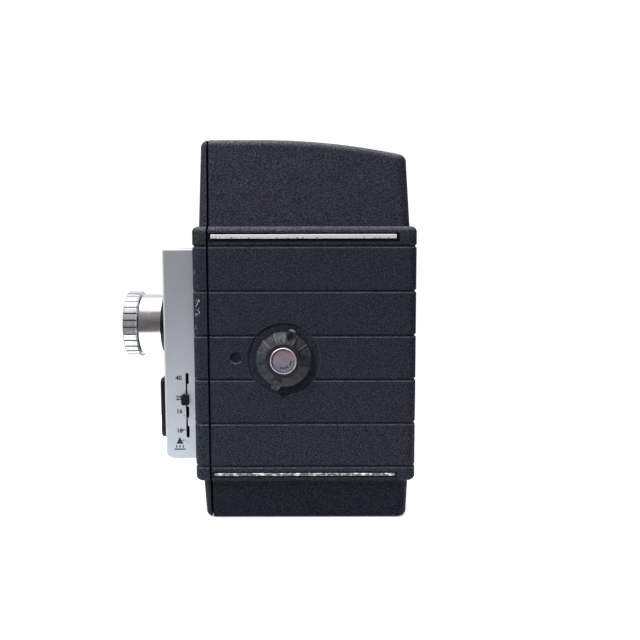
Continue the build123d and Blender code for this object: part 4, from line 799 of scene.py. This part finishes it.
def add_slab(shape, outline, matrix):
    """Thin closed prism on a flat outline."""
    low = [shape.verts.new(matrix @ Vector((x, y, -MARK_THICKNESS / 2))) for x, y in outline]
    high = [shape.verts.new(matrix @ Vector((x, y, MARK_THICKNESS / 2))) for x, y in outline]
    shape.faces.new(list(reversed(low)))
    shape.faces.new(high)
    for index in range(len(outline)):
        after = (index + 1) % len(outline)
        shape.faces.new((low[index], low[after], high[after], high[index]))


def bar(width, height):
    """Outline of a rectangle about the origin."""
    x, y = width / 2, height / 2
    return [(-x, -y), (x, -y), (x, y), (-x, y)]


def arc_arrow(radius, width, start, end, steps=14):
    """Outline of a curved arrow from one angle to another, in degrees."""

    def point(distance, angle):
        return (distance * math.cos(angle), distance * math.sin(angle))

    angles = [math.radians(start + (end - start) * step / steps) for step in range(steps + 1)]
    outer = [point(radius + width / 2, angle) for angle in angles]
    inner = [point(radius - width / 2, angle) for angle in angles]
    tip_angle = angles[-1] - 1.6 * width / radius * math.copysign(1, start - end)
    head = [
        point(radius + 1.3 * width, angles[-1]),
        point(radius, tip_angle),
        point(radius - 1.3 * width, angles[-1]),
    ]
    return list(reversed(outer + head + list(reversed(inner))))


def mark_piece(name, body, shape, material):
    """Turn a bmesh of markings into a piece that rides on a body."""
    bmesh.ops.remove_doubles(shape, verts=shape.verts, dist=1e-7)
    bmesh.ops.recalc_face_normals(shape, faces=shape.faces)
    mesh = bpy.data.meshes.new(name)
    shape.to_mesh(mesh)
    shape.free()
    mesh.materials.append(material)
    piece = bpy.data.objects.new(name, mesh)
    bpy.context.scene.collection.objects.link(piece)
    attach(piece, body)


def speed_scale(material):
    """Film speeds beside the slot in the front plate, over a pointer and a base line."""
    shape = bmesh.new()
    side = PLATE_HIGH.x + MARK_THICKNESS / 2

    def at(height):
        return onto((side, SPEED_Y, height), (0, 1, 0), (0, 0, 1))

    for speed, height in SPEED_MARKS:
        add_glyphs(shape, speed, SPEED_GLYPHS, at(height))
    add_slab(shape, POINTER, at(POINTER_Z))
    add_slab(shape, bar(*BASE_LINE), at(BASE_LINE_Z))
    for step in (-1, 0, 1):
        place = Matrix.Translation((step * BASE_TICK_STEP, BASE_TICK_RISE, 0))
        add_slab(shape, bar(*BASE_TICK), at(BASE_LINE_Z) @ place)
    mark_piece("speed_scale", "root", shape, material)


def latch_marks(material):
    """A turning arrow and four ticks low on the latch disc."""
    shape = bmesh.new()
    surface = DISC_HIGH.x - DISC_SINK + MARK_THICKNESS / 2
    face = onto((surface, LATCH.y, LATCH.z), (0, 1, 0), (0, 0, 1))
    for angle in LATCH_TICK_ANGLES:
        turned = face @ Matrix.Rotation(math.radians(angle), 4, "Z")
        add_slab(shape, bar(*LATCH_TICK), turned @ Matrix.Translation((LATCH_TICK_R, 0, 0)))
    add_slab(shape, arc_arrow(*LATCH_ARROW), face)
    mark_piece("latch_marks", "latch", shape, material)


def counter_marks(material):
    """Feet of film round the counter dial, with a tick at each foot between the numbers."""
    shape = bmesh.new()
    face = onto((DIAL_LOW.x - MARK_THICKNESS / 2, DIAL.y, DIAL.z), (0, -1, 0), (0, 0, 1))
    upright = Matrix.Rotation(-math.pi, 4, "Z")

    def at(steps, radius):
        turned = face @ Matrix.Rotation(math.pi + steps * COUNTER_STEP, 4, "Z")
        return turned @ Matrix.Translation((radius, 0, 0))

    for index in range(COUNTER_STEPS):
        feet = str(FEET_PER_STEP * index)
        add_glyphs(shape, feet, COUNTER_GLYPHS, at(index, COUNTER_GLYPH_R) @ upright)
        for tick in range(1, FEET_PER_STEP):
            add_slab(shape, bar(*COUNTER_TICK), at(index + tick / FEET_PER_STEP, COUNTER_TICK_R))
    mark_piece("counter_marks", "counter", shape, material)


def winding_arrow(material):
    """Arrow that shows which way the key winds."""
    shape = bmesh.new()
    face = onto((KEY_LOW.x - MARK_THICKNESS / 2, KEY.y, KEY.z), (0, -1, 0), (0, 0, 1))
    add_slab(shape, arc_arrow(*WINDING_ARROW, steps=32), face)
    mark_piece("winding_arrow", "root", shape, material)


marking_ink = ink()
speed_scale(marking_ink)
latch_marks(marking_ink)
counter_marks(marking_ink)
winding_arrow(marking_ink)


# ---- Stage, light and camera --------------------------------------------------------------


def stage():
    """Plain white table that ends a little in front of the object.

    It throws less light up at the object than it shows to the camera.
    """
    mesh = bpy.data.meshes.new("floor")
    shape = bmesh.new()
    bmesh.ops.create_circle(shape, cap_ends=True, segments=128, radius=FLOOR_R)
    bmesh.ops.translate(shape, verts=shape.verts, vec=(0, 0, -0.05 * MM))
    shape.to_mesh(mesh)
    shape.free()
    floor = bpy.data.objects.new("floor", mesh)
    bpy.context.scene.collection.objects.link(floor)
    m = Material("floor_white", Roughness=0.6)
    m.shader.inputs["Emission Color"].default_value = (0.94, 0.97, 1.0, 1.0)
    bounced = m.tree.nodes.new("ShaderNodeLightPath").outputs["Is Diffuse Ray"]
    m.put(m.shader.inputs["Emission Strength"], m.remap(bounced, 0.0, 1.0, FLOOR_GLOW, 0.0))
    haze = m.mix(m.noise(3, 2.0, 0.5), rgb(250, 250, 250), rgb(246, 248, 250))
    mesh.materials.append(m.finish(m.mix(bounced, haze, rgb(96, 100, 108))))


def area_light(name, place, target, size, power):
    """Rectangular light turned to a target."""
    data = bpy.data.lights.new(name, "AREA")
    data.shape = "RECTANGLE"
    data.size, data.size_y = size
    data.energy = power
    light = bpy.data.objects.new(name, data)
    bpy.context.scene.collection.objects.link(light)
    light.location = place
    light.rotation_euler = (Vector(target) - Vector(place)).to_track_quat("-Z", "Y").to_euler()


def studio():
    """Bright ceiling over a dim room, with two lights; what the camera sees is white.

    The room is drawn on the direction looked in: x towards the film door's side, z up.
    """
    world = bpy.data.worlds.new("studio")
    bpy.context.scene.world = world
    world.use_nodes = True
    room = Nodes(world.node_tree)
    direction = room.split(room.tree.nodes.new("ShaderNodeTexCoord").outputs["Generated"])
    towards_door, up = direction[0], direction[2]

    ramp = room.tree.nodes.new("ShaderNodeValToRGB")
    room.put(ramp.inputs["Fac"], up)
    stops = ramp.color_ramp
    stops.interpolation = "EASE"
    stops.elements[0].position = 0.54
    stops.elements[0].color = (0.066, 0.062, 0.062, 1)
    stops.elements[1].position = 1.0
    stops.elements[1].color = (1, 1, 1, 1)
    shoulder = stops.elements.new(0.80)
    shoulder.color = (0.42, 0.43, 0.44, 1)
    ceiling = room.tree.nodes.new("ShaderNodeVectorMath")
    ceiling.operation = "SCALE"
    room.put(ceiling.inputs[0], ramp.outputs["Color"])
    ceiling.inputs["Scale"].default_value = CEILING

    # the wall on the door's side is dim nearly up to the ceiling
    low_wall, high_wall = (0.125, 0.12, 0.125, 1.0), (0.21, 0.205, 0.205, 1.0)
    dim_wall = room.mix(room.remap(up, 0.25, 0.62), low_wall, high_wall)
    door_side = room.remap(towards_door, 0.16, 0.66, interpolation="SMOOTHSTEP")
    light = room.mix(door_side, ceiling.outputs[0], dim_wall)

    # the wall on the far side is white, and so is the backdrop that the camera sees
    far_side = room.remap(towards_door, -0.55, -0.85)
    light = room.mix(far_side, light, (0.85, 0.87, 0.9, 1.0))
    seen = room.tree.nodes.new("ShaderNodeLightPath").outputs["Is Camera Ray"]
    light = room.mix(seen, light, (1.1, 1.1, 1.1, 1.0))
    room.put(room.tree.nodes["Background"].inputs["Color"], light)

    area_light("top_soft", place=(0.10, 0.02, 0.80), target=(0, 0, 0.07), size=(0.6, 0.8), power=3.0)
    area_light("key_soft", place=(0.50, -0.60, 0.72), target=(0.03, 0, 0.08), size=(0.22, 0.22), power=6.9)


def camera():
    """The photograph's viewpoint: square to the film door, a little above the belt."""
    data = bpy.data.cameras.new("camera")
    data.sensor_width = 36.0
    data.lens = FOCAL_LENGTH
    data.clip_start = 0.005
    place = bpy.data.objects.new("camera", data)
    bpy.context.scene.collection.objects.link(place)
    place.location = CAMERA_PLACE
    place.rotation_euler = (math.pi / 2 - CAMERA_PITCH, CAMERA_ROLL, math.pi / 2)
    bpy.context.scene.camera = place


stage()
studio()
camera()
bpy.context.scene.view_settings.view_transform = "Standard"
